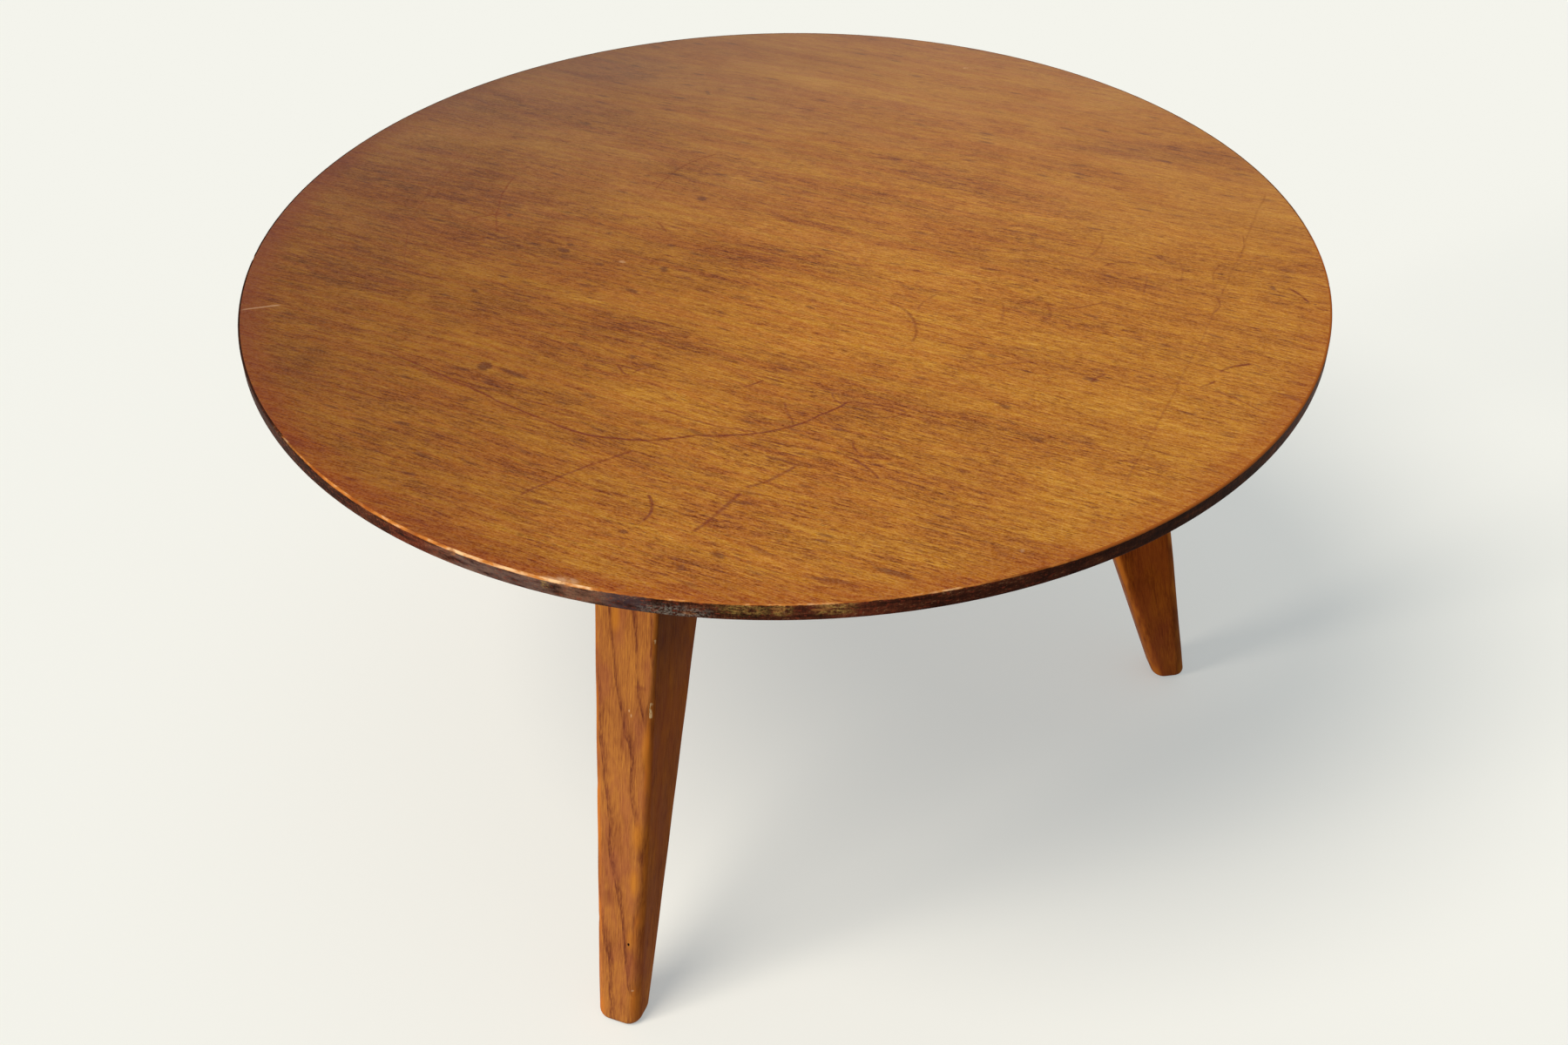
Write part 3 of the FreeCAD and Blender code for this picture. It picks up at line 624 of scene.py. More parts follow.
# Patches of the top: weight, middle, half sizes in millimetres and turn in degrees
DARK_CLOUDS = [
    (0.9, (-285, -125), (62, 26), -6),
    (0.6, (-60, -133), (150, 24), -3),
    (0.6, (12, -2), (75, 24), 0),
    (0.7, (238, 262), (110, 22), 14),
    (0.5, (230, -165), (140, 17), -4),
    (0.6, (-255, 250), (60, 36), 20),
    (0.5, (-180, -322), (130, 60), -25),
    (0.6, (120, 150), (150, 20), -12),
    (0.6, (335, 14), (66, 12), -4),
    (0.5, (150, -128), (64, 14), -5),
]
DARK_SPOTS = [
    (1.0, (-222, -18), (3, 3.5), 0),
    (1.0, (-92, 57), (5, 4), 0),
    (1.0, (-157, -52), (7, 4), -10),
    (0.8, (-157, -43), (3, 4), 0),
    (0.8, (-150, -6), (6, 2.5), -10),
    (0.8, (-136, -17), (3, 3), 0),
    (0.9, (-85, -17), (6, 2.2), 0),
    (1.0, (-75, -51), (4, 5), 0),
    (0.8, (-123, -61), (6, 3), 10),
    (0.9, (-85, -87), (8, 3), -8),
    (0.6, (-110, -95), (6, 2.5), 0),
    (0.7, (-118, -37), (9, 1.6), 10),
    (0.7, (-162, -104), (8, 2), -15),
    (0.9, (-193, -127), (4, 3), 0),
    (0.7, (-221, 19), (4, 2.5), 0),
    (0.7, (-148, 77), (4, 2), 0),
    (0.6, (-117, 123), (4, 2), 0),
    (0.8, (-236, 144), (9, 2.5), -8),
    (0.8, (-162, 233), (6, 3), -50),
    (1.0, (-138, -212), (7, 7), -40),
    (0.9, (-115, -213), (17, 3), -12),
    (0.7, (-87, -228), (5, 2), -10),
    (0.9, (-156, -291), (9, 2.5), -5),
    (0.8, (-55, -219), (9, 3), -8),
    (0.9, (-47, -166), (3.5, 2.5), 0),
    (1.0, (30, -343), (4, 2.6), 0),
    (0.7, (22, -349), (6, 2), -10),
    (0.9, (93, -343), (7, 3.5), -15),
    (0.8, (77, -362), (5, 4), -20),
    (0.8, (87, -167), (3, 2.5), 0),
    (0.8, (46, -63), (5, 3), -10),
    (0.7, (186, -78), (5, 4), -20),
    (0.9, (211, -134), (6, 3), -20),
    (0.9, (187, 29), (4, 2.5), -10),
    (0.7, (196, 6), (5, 4), -30),
    (0.9, (256, -83), (8, 3), -10),
    (1.0, (350, 78), (3, 3.6), 0),
    (0.9, (383, 66), (1.6, 1.6), 0),
    (0.9, (389, 60), (1.6, 1.6), 0),
    (0.9, (198, -322), (20, 3.5), -4),
    (0.8, (166, -341), (22, 3), 8),
    (0.7, (115, -330), (16, 3), -14),
    (0.6, (50, 188), (6, 5), 0),
]
WHITE_SPECKS = [
    (1.0, (33, 357), (2.6, 1.5), 20),
    (0.7, (262, -275), (1.6, 2.4), 0),
    (0.5, (-109, -52), (3, 2), 0),
    (0.9, (18, -396), (8, 3), 2),
    (0.7, (9, -398), (6, 1.6), 0),
]

GRAIN_SLOPE = 0.055
# The veneer's shades from its darkest fibres to its palest, in two kinds of streaks
GOLDEN = [(90, 40, 14), (134, 75, 22), (173, 108, 31), (192, 130, 38), (210, 150, 58)]
REDDISH = [(80, 30, 12), (125, 61, 20), (168, 96, 29), (187, 118, 36), (206, 140, 56)]


def shades(finish, tone, colours):
    """The colour at tone, between colours spaced evenly from 0 to 1."""
    return finish.ramp(tone, *((k / (len(colours) - 1), tint(*colour)) for k, colour in enumerate(colours)))


def varnish_shade_and_sheen(wood, colour, x, y, flat, clouds):
    """The top's colour: darker at -X, partly aged and partly painted shade, a painted grey sheen in clouds at
    the back, and rim tints.
    """
    # Darker towards -X: partly aged tone, partly painted shade
    aged_and_shaded = (x + (clouds - 0.5) * 0.16 + y * 0.05).fall(-0.4, 0.13)
    colour = wood.mix(aged_and_shaded, colour, tint(190, 181, 178), "MULTIPLY")
    # Painted sheen: grey reflected light painted in clouds over the back
    painted_sheen = (y * 0.45 - x * 0.13 + 0.045 + (clouds - 0.5) * 0.1).rise(0.0, 0.3, 0.0, 0.42)
    colour = wood.mix(painted_sheen, colour, tint(134, 117, 104))
    near_rim = wood.length(flat).rise(RIM - 30 * MM, RIM)
    colour = wood.mix(near_rim * y.fall(-0.1, 0.25) * 0.3, colour, tint(148, 48, 4))
    return wood.mix(near_rim * x.fall(-0.4, -0.2) * 0.4, colour, tint(92, 52, 42))


def scratched(wood, colour, place, flat):
    """The top's colour with its scratches and white specks, and how strong its dark scratches are."""
    wander = wood.noise(place, (0.03, 0.03, 1), 2)
    traced = wood.moved(flat, x=wander * 0.006 - 0.003, y=wander.other("Color") * 0.006 - 0.003)
    broken = wood.noise(place, (0.007, 0.007, 1), 2, 0.6, (1, 9, 0)).rise(0.3, 0.6)
    cuts = scratches(wood, traced, SCRATCHES) * (0.55 + broken * 0.45)
    colour = wood.mix(cuts * 0.88, colour, tint(112, 44, 24))
    specks = spots(wood, flat, WHITE_SPECKS) * (0.2 + broken * 0.8)
    pale = scratches(wood, traced, PALE_SCRATCHES).most(specks)
    return wood.mix(pale * 0.75, colour, tint(214, 170, 130)), cuts


def top_veneer():
    """Satin varnished veneer with its grain along X: golden towards +X, dark at -X, partly painted shade, and
    a painted sheen at the back.
    """
    wood = Finish(bpy.data.materials.new("top_veneer"))
    place = wood.place()
    x, y, _ = wood.separate(place)
    flat = wood.vector("MULTIPLY", place, (1, 1, 0))

    # The grain, a little aslant and wavering, and its figure from broad bands down to single hairs
    waver = wood.noise(place, (0.26, 0.09, 1), 2) * 0.022 + wood.noise(place, (0.05, 0.02, 1), 1) * 0.0022
    grain = wood.moved(place, y=x * GRAIN_SLOPE + waver)
    bands = wood.noise(grain, (0.36, 0.03, 1), 2)
    streaks = wood.noise(grain, (0.07, 0.0045, 1), 3, 0.6)
    fine = wood.noise(grain, (0.015, 0.0012, 1), 4, 0.75)
    hair = wood.noise(grain, (0.006, 0.0006, 1), 2, 0.7, (0, 6, 0))
    clouds = wood.noise(place, (0.1, 0.06, 1), 4, 0.65, (3, 1, 0))

    # Short cross ripples that show where the grain rises and falls
    ripple = wood.noise(wood.mapped(place, turn=(0, 0, 24)), (0.012, 0.0022, 1), 2, 0.6)
    rippled = wood.noise(place, (0.11, 0.035, 1), 2, 0.5, (7, 2, 0)).rise(0.5, 0.66)

    # The fibres show most at the front right, and faintest at the back, under the painted sheen
    clear = (y.fall(0.0, 0.34) * 0.5 + 0.5) * x.rise(-0.15, 0.1, 0.96, 1.18)
    grit = wood.noise(place, (0.0015, 0.001, 1), 2, 0.6, (8, 8, 0))
    fibres = (fine * 1.4 + hair * 0.9 + grit * 0.5 - 1.4) * clear
    tone = bands * 0.45 + streaks * 0.38 + clouds * 0.56 + fibres - 0.155
    dark = spots(wood, flat, DARK_CLOUDS)
    tone = tone + (ripple - 0.5) * rippled * 0.5 - dark * (0.06 + clouds * 0.2)
    redder = wood.noise(grain, (0.07, 0.005, 1), 3, 0.6, (4, 3, 0)).rise(0.4, 0.6)
    redder = redder * x.rise(0.05, 0.35, 1.0, 0.45)
    colour = wood.mix(redder, shades(wood, tone, GOLDEN), shades(wood, tone, REDDISH))

    # Open pores: short dark dashes along the grain, thicker in some stretches
    pore = wood.cells(grain, (0.009, 0.0008, 1))
    kept = wood.separate(pore.other("Color"))[0].rise(0.36, 0.5)
    crowded = wood.noise(grain, (0.09, 0.012, 1), 2, 0.5, (5, 5, 0)).rise(0.4, 0.62)
    pores = pore.fall(0.12, 0.36) * kept * (0.3 + 0.7 * crowded)
    colour = wood.mix(pores * clear * 0.8, colour, tint(86, 34, 6))

    # Flecks of the grain and dark spots, both with ragged edges
    fleck = wood.cells(grain, (0.03, 0.0066, 1))
    chosen = wood.separate(fleck.other("Color"))[0].rise(0.72, 0.8)
    flecks = (fleck + fine * 0.3).fall(0.2, 0.5) * chosen
    ragged = wood.moved(flat, x=(fine - 0.5) * 0.016, y=(hair - 0.5) * 0.005)
    dotted = (spots(wood, ragged, DARK_SPOTS) * (0.4 + fine * 1.4)).rise(0.5, 1.0)
    marked = (flecks * 0.75).most(dotted * 0.85)
    colour = wood.mix(marked * 0.8, colour, tint(98, 44, 22))

    colour = varnish_shade_and_sheen(wood, colour, x, y, flat, clouds)
    colour, cuts = scratched(wood, colour, place, flat)

    # Painted glints: specks of light that the varnish throws back from the pores' rims, painted into the
    # colour
    colour = wood.mix(grit.rise(0.35, 0.65) * clear * 0.018, colour, (1.0, 1.0, 1.0, 1.0))

    # Fine rubbing marks that dull the varnish in every direction
    rubbed = wood.noise(wood.mapped(place, turn=(0, 0, 58)), (0.05, 0.0006, 1), 2, 0.6).rise(0.6, 0.78)
    sheen = wood.noise(place, (0.16, 0.12, 1), 3, 0.6, (2, 8, 0))
    rough = 0.34 + sheen * 0.14 + pores * 0.16 + cuts * 0.2 + rubbed * 0.08 + (fine - 0.5) * 0.1
    grainy = fine * 0.35 + hair * 0.25 - pores * 0.8 + streaks * 0.3
    normal = wood.bump(grainy, 0.05 * MM)
    swell = wood.noise(place, (0.009, 0.009, 0.009), 2)
    normal = wood.bump(swell, 0.035 * MM, normal)
    return wood.surface(Base_Color=colour, Roughness=rough, Normal=normal, Specular_IOR_Level=0.05)


# Patches of the front leg's outer face: weight, and middle and half sizes in millimetres
# Golden patches along the front leg's right ridge: lighter stain, and a painted highlight
LEG_GOLD_AND_HIGHLIGHT = [
    (0.8, (-2, -283, 420), (4, 9, 17)),
    (0.9, (-7, -296, 355), (5, 9, 19)),
    (0.9, (18.5, -316, 257), (5, 9, 34)),
    (0.8, (14, -331, 180), (6, 9, 22)),
    (0.8, (12, -339, 138), (5, 9, 20)),
    (0.5, (10, -350, 85), (5, 9, 16)),
]
LEG_SMUDGES = [
    (0.6, (-3, -279, 445), (9, 8, 2)),
    (0.6, (12.6, -306.4, 305), (6, 8, 3)),
    (0.5, (-7.5, -343.4, 119), (9, 8, 12)),
    (0.4, (15, -284, 430), (7, 8, 24)),
]
LEG_HOLE = (1.0, (8.9, -350.9, 81), (1.5, 3, 2.2))
LEG_DENTS = [
    (0.7, (4.8, -311.4, 284.5), (0.8, 3, 1.6)),
    (0.6, (6.4, -312.2, 281), (0.7, 3, 2.2)),
    (0.5, (12.8, -359.6, 37.3), (1.6, 3, 1.2)),
]

# The heart of the tree that a leg was cut from: how far inwards and to the side of the leg's middle it lies,
# and how much it drifts sideways for each length upwards; and the width of the growth rings round it
HEART_DEEP = 95 * MM
HEART_ASIDE = 70 * MM
GRAIN_DRIFT = 0.12
RING_WIDE = 9.5 * MM
# Painted light and shade, from foot to board: what colour is multiplied by on the broad faces, painted
# lighter towards the board, and on the sides, painted darker and redder there as shade
FACE_LIT_LOW, FACE_LIT_HIGH = (0.86, 0.83, 0.93, 1.0), (1.77, 1.68, 1.55, 1.0)
SIDE_SHADE_FOOT, SIDE_SHADE_MID, SIDE_SHADE_HIGH = (0.92, 0.70, 0.64, 1.0), (0.78, 0.55, 0.28, 1.0), (0.15, 0.11, 0.06, 1.0)
# Each leg's own tone; the back right leg's darker, redder one is painted shade, as that leg stands in the
# table's shadow
LEG_TONES_AND_SHADE = {
    "leg_front": (1.0, 1.0, 1.0, 1.0),
    "leg_back_right": (0.78, 0.68, 0.64, 1.0),
    "leg_back_left": (0.93, 0.90, 0.88, 1.0),
}


def patch(finish, place, weight, middle, half_sizes):
    """An oval patch as strong as weight in its middle, falling to 0 at its half sizes, in millimetres."""
    away = finish.vector("SUBTRACT", place, metres(middle))
    return finish.length(finish.vector("DIVIDE", away, metres(half_sizes))).fall(0.2, 1.0) * weight


def patches(finish, place, marks):
    """The strongest of several patches, each what patch() takes."""
    return strongest(patch(finish, place, *mark) for mark in marks)


def leg_finish(node):
    """Stained oak for one leg, its grain along the outer face and its growth rings round a line inside."""
    wood = Finish(bpy.data.materials.new("leg_wood_" + node))
    azimuth = LEG_AZIMUTHS[node]
    lean = degrees(atan2(LEG_FOOT_OUTER - LEG_TOP_OUTER, LEG_HEIGHT))
    centre_reach = (LEG_TOP_OUTER + LEG_FOOT_OUTER) / 2
    centre = (centre_reach * cos(radians(azimuth)), centre_reach * sin(radians(azimuth)), LEG_HEIGHT / 2)
    place = wood.place()
    leg = wood.mapped(place, centre=centre, turn=(0, -lean, azimuth))
    side = wood.attribute("side")
    colour, height, rough = stained_oak(wood, leg, side, offset=azimuth * 0.01)
    if node == "leg_front":
        colour = wood.mix(patches(wood, place, LEG_SMUDGES) * 0.8, colour, tint(122, 58, 40))
        # Golden patches: lighter stain and a painted highlight
        colour = wood.mix(patches(wood, place, LEG_GOLD_AND_HIGHLIGHT) * 0.75, colour, tint(206, 130, 40))

    # Painted light and shade: towards the board the broad faces are painted lighter, and the sides darker and
    # redder
    z = wood.separate(place)[2]
    face_painted_light = wood.mix(z.rise(0.26, 0.48), FACE_LIT_LOW, FACE_LIT_HIGH)
    side_painted_shade = wood.mix(z.rise(0.02, 0.14), SIDE_SHADE_FOOT, SIDE_SHADE_MID)
    side_painted_shade = wood.mix(z.rise(0.23, 0.43), side_painted_shade, SIDE_SHADE_HIGH)
    colour = wood.mix(1.0, colour, wood.mix(side, face_painted_light, side_painted_shade), "MULTIPLY")
    # Each leg's own tone, and painted shade on the back right leg
    colour = wood.mix(1.0, colour, LEG_TONES_AND_SHADE[node], "MULTIPLY")

    # Stain rubbed thin along the ridges, with a painted highlight, the upper knocks broken down to pale wood,
    # and grime and painted contact shade in the lowest 5 mm of the foot
    ridge, knock = wood.attribute("ridge"), wood.attribute("knock")
    patchy = wood.noise(leg, (0.012, 0.012, 0.045), 2, 0.5, (4, 0, 0)).rise(0.36, 0.6)
    # Lighter ridges: stain rubbed thin, and a painted highlight
    colour = wood.mix(ridge.rise(0.3, 1.0) * patchy * 0.7, colour, tint(196, 112, 36))
    bruise = wood.noise(leg, (0.0022, 0.0022, 0.0045), 3, 0.65)
    chipped = knock.rise(0.05, 0.5) * ridge.rise(0.7, 0.96) * (bruise * 2 - 0.35)
    bare = chipped.rise(0.5, 0.72) * z.rise(272 * MM, 284 * MM)
    colour = wood.mix(bare * 0.9, colour, tint(232, 196, 140))
    # Darker in the lowest 5 mm: grime, and painted contact shade at the floor
    colour = wood.mix(z.fall(0.0, 5 * MM) * 0.8, colour, tint(60, 30, 18))
    if node == "leg_front":
        colour = wood.mix(patches(wood, place, LEG_DENTS), colour, tint(222, 180, 136))
        colour = wood.mix(patches(wood, place, [LEG_HOLE]).rise(0.2, 0.6), colour, tint(24, 12, 8))
    normal = wood.bump(height, 0.1 * MM)
    return wood.surface(
        Base_Color=colour, Roughness=rough + patchy * 0.05, Normal=normal, Specular_IOR_Level=0.012,
    )


def stained_oak(wood, leg, side, offset):
    """Colour, height and roughness of stained oak whose grain runs along z.

    The distance d from the heart line, warped a little by noise, counts the growth rings: ring = d / ring
    width. Each ring starts with a thin line of dark pores that fades into smooth late wood. offset moves the
    noise, so that no two legs have the same figure.
    """
    wide_warp = wood.noise(leg, (0.06, 0.06, 0.17), 2, 0.5, (offset, 0, 0))
    near_warp = wood.noise(leg, (0.014, 0.014, 0.05), 2, 0.55, (0, offset, 0))
    x, y, z = wood.separate(leg)
    from_heart = wood.joined(x + HEART_DEEP, y + z * GRAIN_DRIFT + HEART_ASIDE)
    distance = wood.length(from_heart) + wide_warp * 0.02 + near_warp * 0.004
    ring = (distance / RING_WIDE).math("FRACT")
    early = ring.rise(0.0, 0.04) * ring.fall(0.06, 0.34)

    fibre = wood.noise(leg, (0.0012, 0.0012, 0.02), 3, 0.65)
    threads = wood.noise(leg, (0.0005, 0.0005, 0.009), 2, 0.6)
    blotch = wood.noise(leg, (0.024, 0.024, 0.06), 3, 0.55, (0, 2, offset))
    dashes = wood.noise(leg, (0.0009, 0.0009, 0.007), 2, 0.6, (3, 0, 0)).rise(0.4, 0.6)
    lines = early * (0.3 + 0.7 * dashes) * (1 - 0.75 * side)
    tone = fibre * 0.9 + threads * 0.8 + blotch * 0.9 - 0.77 - lines * 0.26
    colour = wood.ramp(
        tone,
        (0.0, tint(96, 50, 28)),
        (0.3, tint(146, 84, 42)),
        (0.55, tint(178, 112, 52)),
        (0.8, tint(198, 130, 54)),
        (1.0, tint(214, 152, 72)),
    )
    washed = wood.noise(leg, (0.016, 0.016, 0.05), 2, 0.5, (0, 0, 5 + offset)).rise(0.45, 0.65)
    colour = wood.mix(washed * 0.4, colour, tint(164, 92, 60))
    pore = wood.cells(leg, (0.0009, 0.0009, 0.008))
    pores = pore.fall(0.1, 0.36) * (0.1 + 0.9 * lines)
    colour = wood.mix(pores * 0.6, colour, tint(78, 38, 24))
    colour = wood.mix(lines * 0.4, colour, tint(104, 52, 38))
    height = fibre * 0.4 - pores - lines * 0.3
    rough = 0.45 + pores * 0.2 + lines * 0.08 + (blotch - 0.5) * 0.15
    return colour, height, rough


def stretch(at, low, high, soft=1.2):
    """1 between two azimuths of the rim, fading over soft to each side, all in degrees; at is in radians."""
    fade_in = at.rise(radians(low - soft), radians(low + soft))
    return fade_in * at.fall(radians(high - soft), radians(high + soft))


def dark_lacquer(band, strip, mottle, grit):
    """The dark lacquer's colour, mottled and brushed upright: redder, bluer, faded or deeper in stretches."""
    at = band.separate(strip)[0] / RIM
    upright = band.noise(strip, (0.0008, 0.012, 1), 2, 0.6, (0, 2, 0))
    colour = band.ramp(
        mottle + (grit - 0.5) * 0.7 + (upright - 0.5) * 0.6,
        (0.25, tint(32, 16, 11)),
        (0.5, tint(66, 34, 22)),
        (0.75, tint(112, 60, 34)),
    )
    reddish = stretch(at, -106, -98.6, 0.8).most(stretch(at, -70, -40, 6) * 0.6)
    colour = band.mix(reddish * mottle.rise(0.3, 0.6) * 0.6, colour, tint(104, 46, 30))
    bluish = stretch(at, -98.4, -88.5, 0.8).most(stretch(at, -84, -80, 0.8))
    colour = band.mix(bluish * mottle.rise(0.3, 0.55) * 0.75, colour, tint(66, 54, 58))
    faded = stretch(at, -101, -83.5, 1.5) * mottle.rise(0.3, 0.6)
    colour = band.mix(faded * (0.2 + grit * 0.5), colour, tint(138, 106, 86))
    deep = strongest([
        stretch(at, -185, -112, 5) * 0.6,
        stretch(at, -59, -17, 4) * 0.55,
        stretch(at, -81, -66, 1.5) * 0.3,
    ])
    return band.mix(deep, colour, tint(24, 9, 4))


def old_paint(band, colour, strip, mottle, grit, flaked):
    """The lacquer's colour with what is left of old paint on it, in specks: ochre, grey, pale and red."""
    around, height, _ = band.separate(strip)
    at = around / RIM
    front = stretch(at, -128, -42, 10)
    ochre = strongest([
        stretch(at, -73.6, -69.6, 1.4) * 0.75,
        stretch(at, -69.4, -68.0, 0.5),
        stretch(at, -65.6, -62.8, 0.8),
        stretch(at, -89.6, -89.0, 0.25),
    ])
    ochre = ochre * (flaked * 0.8 + grit * 0.4).rise(0.5, 0.78)
    ochre = ochre * height.rise(TABLE_TOP - 9.5 * MM, TABLE_TOP - 5.5 * MM)
    colour = band.mix(ochre * 0.8, colour, tint(188, 152, 78))
    grey = stretch(at, -80.5, -75.0, 1.2) * (grit * 0.7 + flaked * 0.5).rise(0.52, 0.8)
    grey = grey * height.fall(TABLE_TOP - 7 * MM, TABLE_TOP - 1.5 * MM)
    colour = band.mix(grey * 0.75, colour, tint(150, 146, 132))
    stray = band.noise(strip, (0.0022, 0.0012, 1), 2, 0.7, (0, 0.3, 0)) * 0.7 + mottle * 0.4
    colour = band.mix(stray.rise(0.6, 0.78) * front * 0.5, colour, tint(160, 122, 84))
    red_fleck = band.noise(strip, (0.004, 0.0018, 1), 3, 0.6, (0.1, 0.2, 0)).rise(0.54, 0.68) * front
    return band.mix(red_fleck * 0.6, colour, tint(126, 54, 34))


def rubbed_and_highlit_arris(band, colour, strip, flaked):
    """The colour with the upper arris rubbed through to the wood and partly painted with a highlight, and how
    strongly it is rubbed.

    The line of bare wood is strongest and reaches furthest down at the front left and on the stained side,
    is palest at the front, where it is partly a painted highlight, and is faint on the unworn side.
    """
    around, height, _ = band.separate(strip)
    at = around / RIM
    much = stretch(at, -117, -84, 3)
    # Where the rubbed line is palest, at the front, it is partly a painted highlight
    palest = stretch(at, -99, -84.5, 1)
    unworn = stretch(at, -240, -124, 5)
    stained = stretch(at, -44, 24, 5)
    edge = height + (flaked - 0.5) * 1.1 * MM + much * 0.8 * MM + stained * 0.8 * MM
    line = edge.rise(TABLE_TOP - 0.9 * MM, TABLE_TOP - 0.3 * MM)
    rubbed = line * (0.25 + band.attribute("wear") * 0.5 + much * 0.4 + stained * 0.6 - unworn * 0.6)
    pale = band.noise(strip, (0.016, 0.004, 1), 3, 0.6, (2, 0, 0)) + palest * 0.16 - stained * 0.3 - 0.05
    # Bare wood, whose palest shade is partly a painted highlight
    bare = band.ramp(pale, (0.35, tint(156, 84, 32)), (0.52, tint(196, 122, 54)), (0.68, tint(236, 190, 138)))
    return band.mix(rubbed.rise(0.1, 0.9), colour, bare), rubbed


def dark_edge():
    """Dark lacquer on the edge band: chipped and rubbed to pale wood at the arris, partly a painted
    highlight, with old paint specks.

    strip is the band laid flat: how far round the rim and how high, in metres.
    """
    band = Finish(bpy.data.materials.new("dark_edge"))
    height = band.separate(band.place())[2]
    strip = band.joined(band.attribute("around"), height)
    mottle = band.noise(strip, (0.018, 0.005, 1), 3, 0.6)
    grit = band.noise(strip, (0.0016, 0.0013, 1), 3, 0.7)
    flaked = band.noise(strip, (0.005, 0.0018, 1), 4, 0.7)
    colour = dark_lacquer(band, strip, mottle, grit)
    colour = old_paint(band, colour, strip, mottle, grit, flaked)
    colour, rubbed = rubbed_and_highlit_arris(band, colour, strip, flaked)
    broken = band.attribute("chip").rise(0.12, 0.3) * flaked.rise(0.4, 0.55)
    colour = band.mix(broken * 0.6, colour, tint(158, 100, 54))
    rough = 0.4 + flaked * 0.2 + rubbed * 0.1
    normal = band.bump(flaked + mottle * 0.6, 0.14 * MM)
    return band.surface(Base_Color=colour, Roughness=rough, Normal=normal, Specular_IOR_Level=0.015)


# Turns that lay the grain of plain wood along X, along Y or upright, in degrees
ALONG_X, ALONG_Y, UPRIGHT = (0, 0, 0), (0, 0, 90), (0, 90, 0)
# The light and the dark shade of each plain wood
PLY = tint(206, 170, 122), tint(168, 126, 82)
UNDERSIDE = tint(176, 122, 74), tint(132, 84, 46)
FRAME_WOOD = tint(168, 106, 56), tint(116, 66, 34)
BEECH = tint(214, 178, 128), tint(180, 140, 92)


def plain_wood(name, grain_turn, light, dark):
    """Wood of an inner or under piece: fibres and soft bands between two colours.

    The grain runs along X, turned by grain_turn, three angles in degrees.
    """
    wood = Finish(bpy.data.materials.new(name))
    grain = wood.mapped(wood.place(), turn=grain_turn)
    bands = wood.noise(grain, (0.22, 0.012, 0.012), 3, 0.6)
    fibre = wood.noise(grain, (0.03, 0.0009, 0.0009), 3, 0.65)
    pore = wood.cells(grain, (0.007, 0.0009, 0.0009)).fall(0.1, 0.32)
    colour = wood.mix((bands * 0.9 + fibre * 0.9 - 0.4).rise(0.1, 0.9), dark, light)
    colour = wood.mix(pore * 0.4, colour, [0.45 * part for part in dark[:3]] + [1])
    normal = wood.bump(fibre - pore, 0.1 * MM)
    return wood.surface(
        Base_Color=colour, Roughness=0.5 + fibre * 0.2, Normal=normal, Specular_IOR_Level=0.3,
    )


def screw_steel():
    """Plated steel of the screws, a little dulled and scored."""
    steel = Finish(bpy.data.materials.new("screw_steel"))
    place = steel.place()
    dull = steel.noise(place, (0.0016, 0.0016, 0.0016), 3, 0.6)
    scored = steel.noise(place, (0.0002, 0.003, 0.003), 2, 0.6)
    colour = steel.ramp(dull, (0.35, tint(150, 144, 132)), (0.6, tint(190, 186, 176)))
    normal = steel.bump(scored, 0.02 * MM)
    return steel.surface(Base_Color=colour, Roughness=0.3 + dull * 0.25, Metallic=1.0, Normal=normal)


# The studio

PAPER = tint(244, 244, 236)
PAPER_GLOW = 0.37
# The lit part of the floor's look is a little warm and the even part cool, so that shadows stay neutral
LIT_PAPER = tuple(part * share for part, share in zip(PAPER, (1.0, 0.97, 0.93, 1.0)))
EVEN_PAPER = tuple(part * share for part, share in zip(PAPER, (1.0, 1.05, 1.12, 1.0)))
GREY_FLOOR = (0.5, 0.5, 0.5, 1.0)
DOME_SHARE = 0.28
DOME_LIGHT = (0.87, 1.0, 1.15, 1.0)
LAMP_LIGHT = (1.054, 1.0, 0.937)
# Each lamp: azimuth, height and width in degrees, share of a level surface's light, and colour
LAMPS = {
    "key": (-122, 56, 30, 0.54, LAMP_LIGHT),
    "low_front": (-136, 15, 16, 0.13, LAMP_LIGHT),
    "overhead": (0, 90, 52, 0.05, (1.0, 1.0, 1.0)),
}
CAMERA_PLACE = (0.448093, -1.115744, 1.176866)
CAMERA_AHEAD = (-0.293129, 0.724629, -0.623689)
CAMERA_ROLL = -0.91
CAMERA_LENS = 42.1795
FLOOR_HALF = 40.0
FLOOR_DEPTH = 0.05 * MM


def seen_rays(finish):
    """1 for what the camera sees straight, in a gloss or through glass, and 0 for the light of surfaces."""
    camera = finish.node("ShaderNodeLightPath", {}, {}, "Is Camera Ray")
    return camera.most(camera.other("Is Glossy Ray")).most(camera.other("Is Transmission Ray"))


def floor_paper():
    """Pale paper with softened shadows where it is seen, grey in the light it throws up, clear from below."""
    paper = Finish(bpy.data.materials.new("floor_paper"))
    seen = seen_rays(paper)
    grey = paper.node("ShaderNodeBsdfDiffuse", {}, {"Color": GREY_FLOOR})
    lit = paper.node("ShaderNodeBsdfDiffuse", {}, {"Color": LIT_PAPER})
    plain = paper.node("ShaderNodeEmission", {}, {"Color": EVEN_PAPER, "Strength": 1.0})
    softened = paper.node("ShaderNodeMixShader", {}, {0: PAPER_GLOW, 1: lit, 2: plain})
    above = paper.node("ShaderNodeMixShader", {}, {0: seen, 1: grey, 2: softened})
    clear = paper.node("ShaderNodeBsdfTransparent", {}, {})
    below = paper.node("ShaderNodeNewGeometry", {}, {}, "Backfacing")
    shown = paper.node("ShaderNodeMixShader", {}, {0: below, 1: above, 2: clear})
    paper.node("ShaderNodeOutputMaterial", {}, {"Surface": shown})
    return paper.owner


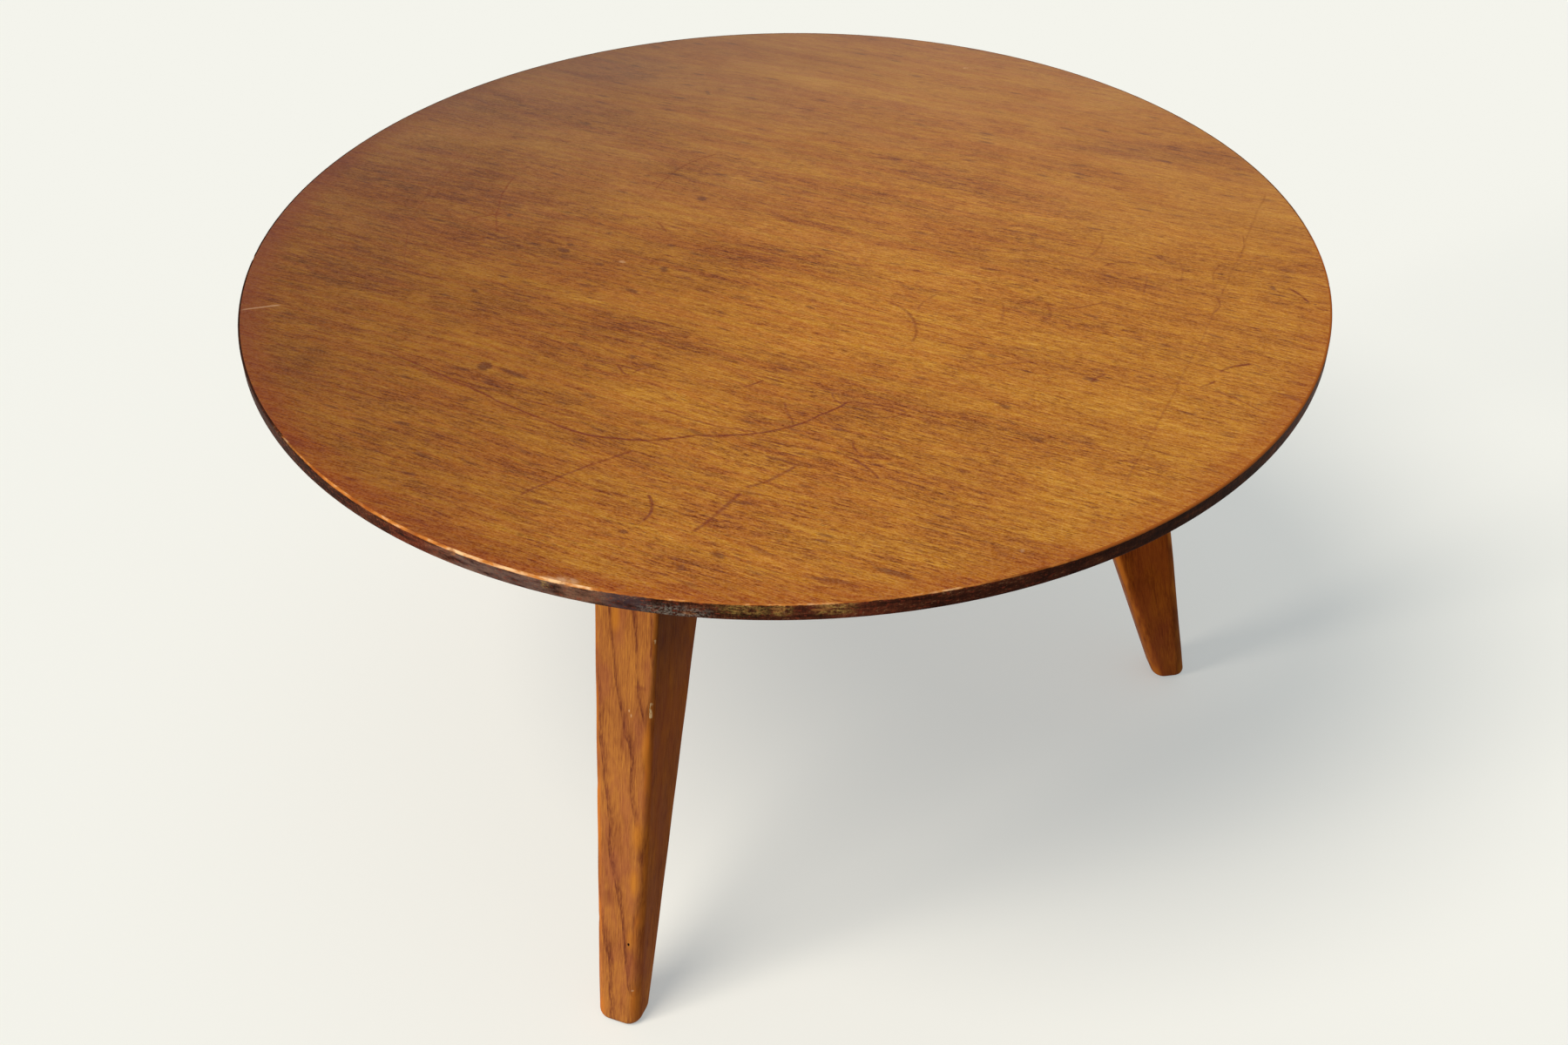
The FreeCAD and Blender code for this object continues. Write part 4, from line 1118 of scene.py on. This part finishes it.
def lay_floor():
    """A wide flat sheet just under the feet."""
    mesh = bpy.data.meshes.new("floor")
    corners = [(-1, -1), (1, -1), (1, 1), (-1, 1)]
    mesh.from_pydata([(x * FLOOR_HALF, y * FLOOR_HALF, -FLOOR_DEPTH) for x, y in corners], [], [(0, 1, 2, 3)])
    mesh.materials.append(floor_paper())
    put("floor", mesh)


def sun(name, azimuth, elevation, wide, share, colour):
    """A broad soft lamp far away that gives a level surface this share of its light."""
    lamp = bpy.data.lights.new(name, "SUN")
    lamp.color = colour
    lamp.energy = share * np.pi / sin(radians(elevation))
    lamp.angle = radians(wide)
    hung = put(name, lamp)
    a, e = radians(azimuth), radians(elevation)
    towards = Vector((cos(a) * cos(e), sin(a) * cos(e), sin(e)))
    hung.rotation_mode = "QUATERNION"
    hung.rotation_quaternion = towards.to_track_quat("Z", "Y")


def light_studio():
    """An even dome of soft light, and broad lamps from the front left, high and low, and overhead."""
    world = bpy.data.worlds.new("studio")
    bpy.context.scene.world = world
    dome = Finish(world)
    soft = dome.node("ShaderNodeBackground", {}, {"Color": DOME_LIGHT, "Strength": DOME_SHARE})
    backdrop = dome.node("ShaderNodeBackground", {}, {"Color": PAPER, "Strength": 1.0})
    both = dome.node("ShaderNodeMixShader", {}, {0: seen_rays(dome), 1: soft, 2: backdrop})
    dome.node("ShaderNodeOutputWorld", {}, {"Surface": both})
    for name, lamp in LAMPS.items():
        sun(name, *lamp)


def set_camera():
    """The camera where the photograph was taken from, turned a little about its own line of sight."""
    data = bpy.data.cameras.new("camera")
    data.lens = CAMERA_LENS
    camera = put("camera", data)
    camera.location = CAMERA_PLACE
    camera.rotation_mode = "QUATERNION"
    level = Vector(CAMERA_AHEAD).to_track_quat("-Z", "Y")
    camera.rotation_quaternion = level @ Quaternion((0, 0, 1), radians(CAMERA_ROLL))
    bpy.context.scene.camera = camera


# Putting it together


def dress(piece, material):
    """Gives a piece one material."""
    piece.data.materials.clear()
    piece.data.materials.append(material)


def dress_nodes(material, slot, *nodes):
    """Gives CAD nodes one material through their own slots."""
    for node in nodes:
        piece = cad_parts[node]
        for number in range(len(piece.material_slots)):
            piece.material_slots[number].material = material


sheet = veneer_sheet()
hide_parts("top_face_veneer")
dress(sheet, top_veneer())

rim = edge_band()
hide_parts("edge_band")
dress(rim, dark_edge())

for number, leg_node in enumerate(LEG_AZIMUTHS):
    leg_piece = shaped_leg(leg_node, seed=20 + 10 * number)
    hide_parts(leg_node)
    dress(leg_piece, leg_finish(leg_node))

dress_nodes(plain_wood("ply_across", ALONG_Y, *PLY), "plywood", "upper_crossband", "lower_crossband")
dress_nodes(plain_wood("ply_along", ALONG_X, *PLY), "plywood", "core_ply")
dress_nodes(plain_wood("underside_veneer", ALONG_X, *UNDERSIDE), "underside_veneer", "underside_veneer")
for leg_node, azimuth in LEG_AZIMUTHS.items():
    rail = leg_node.replace("leg", "rail")
    dress_nodes(plain_wood("frame_wood_" + rail, (0, 0, azimuth), *FRAME_WOOD), "frame_wood", rail)
dress_nodes(plain_wood("frame_wood_block", UPRIGHT, *FRAME_WOOD), "frame_wood", "centre_block")
dowels = [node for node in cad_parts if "dowel" in node]
dress_nodes(plain_wood("dowel_wood", ALONG_X, *BEECH), "dowel_wood", *dowels)
dress_nodes(screw_steel(), "screw_steel", "rail_screws", "block_screw")

lay_floor()
light_studio()
set_camera()
bpy.context.scene.view_settings.view_transform = "Standard"
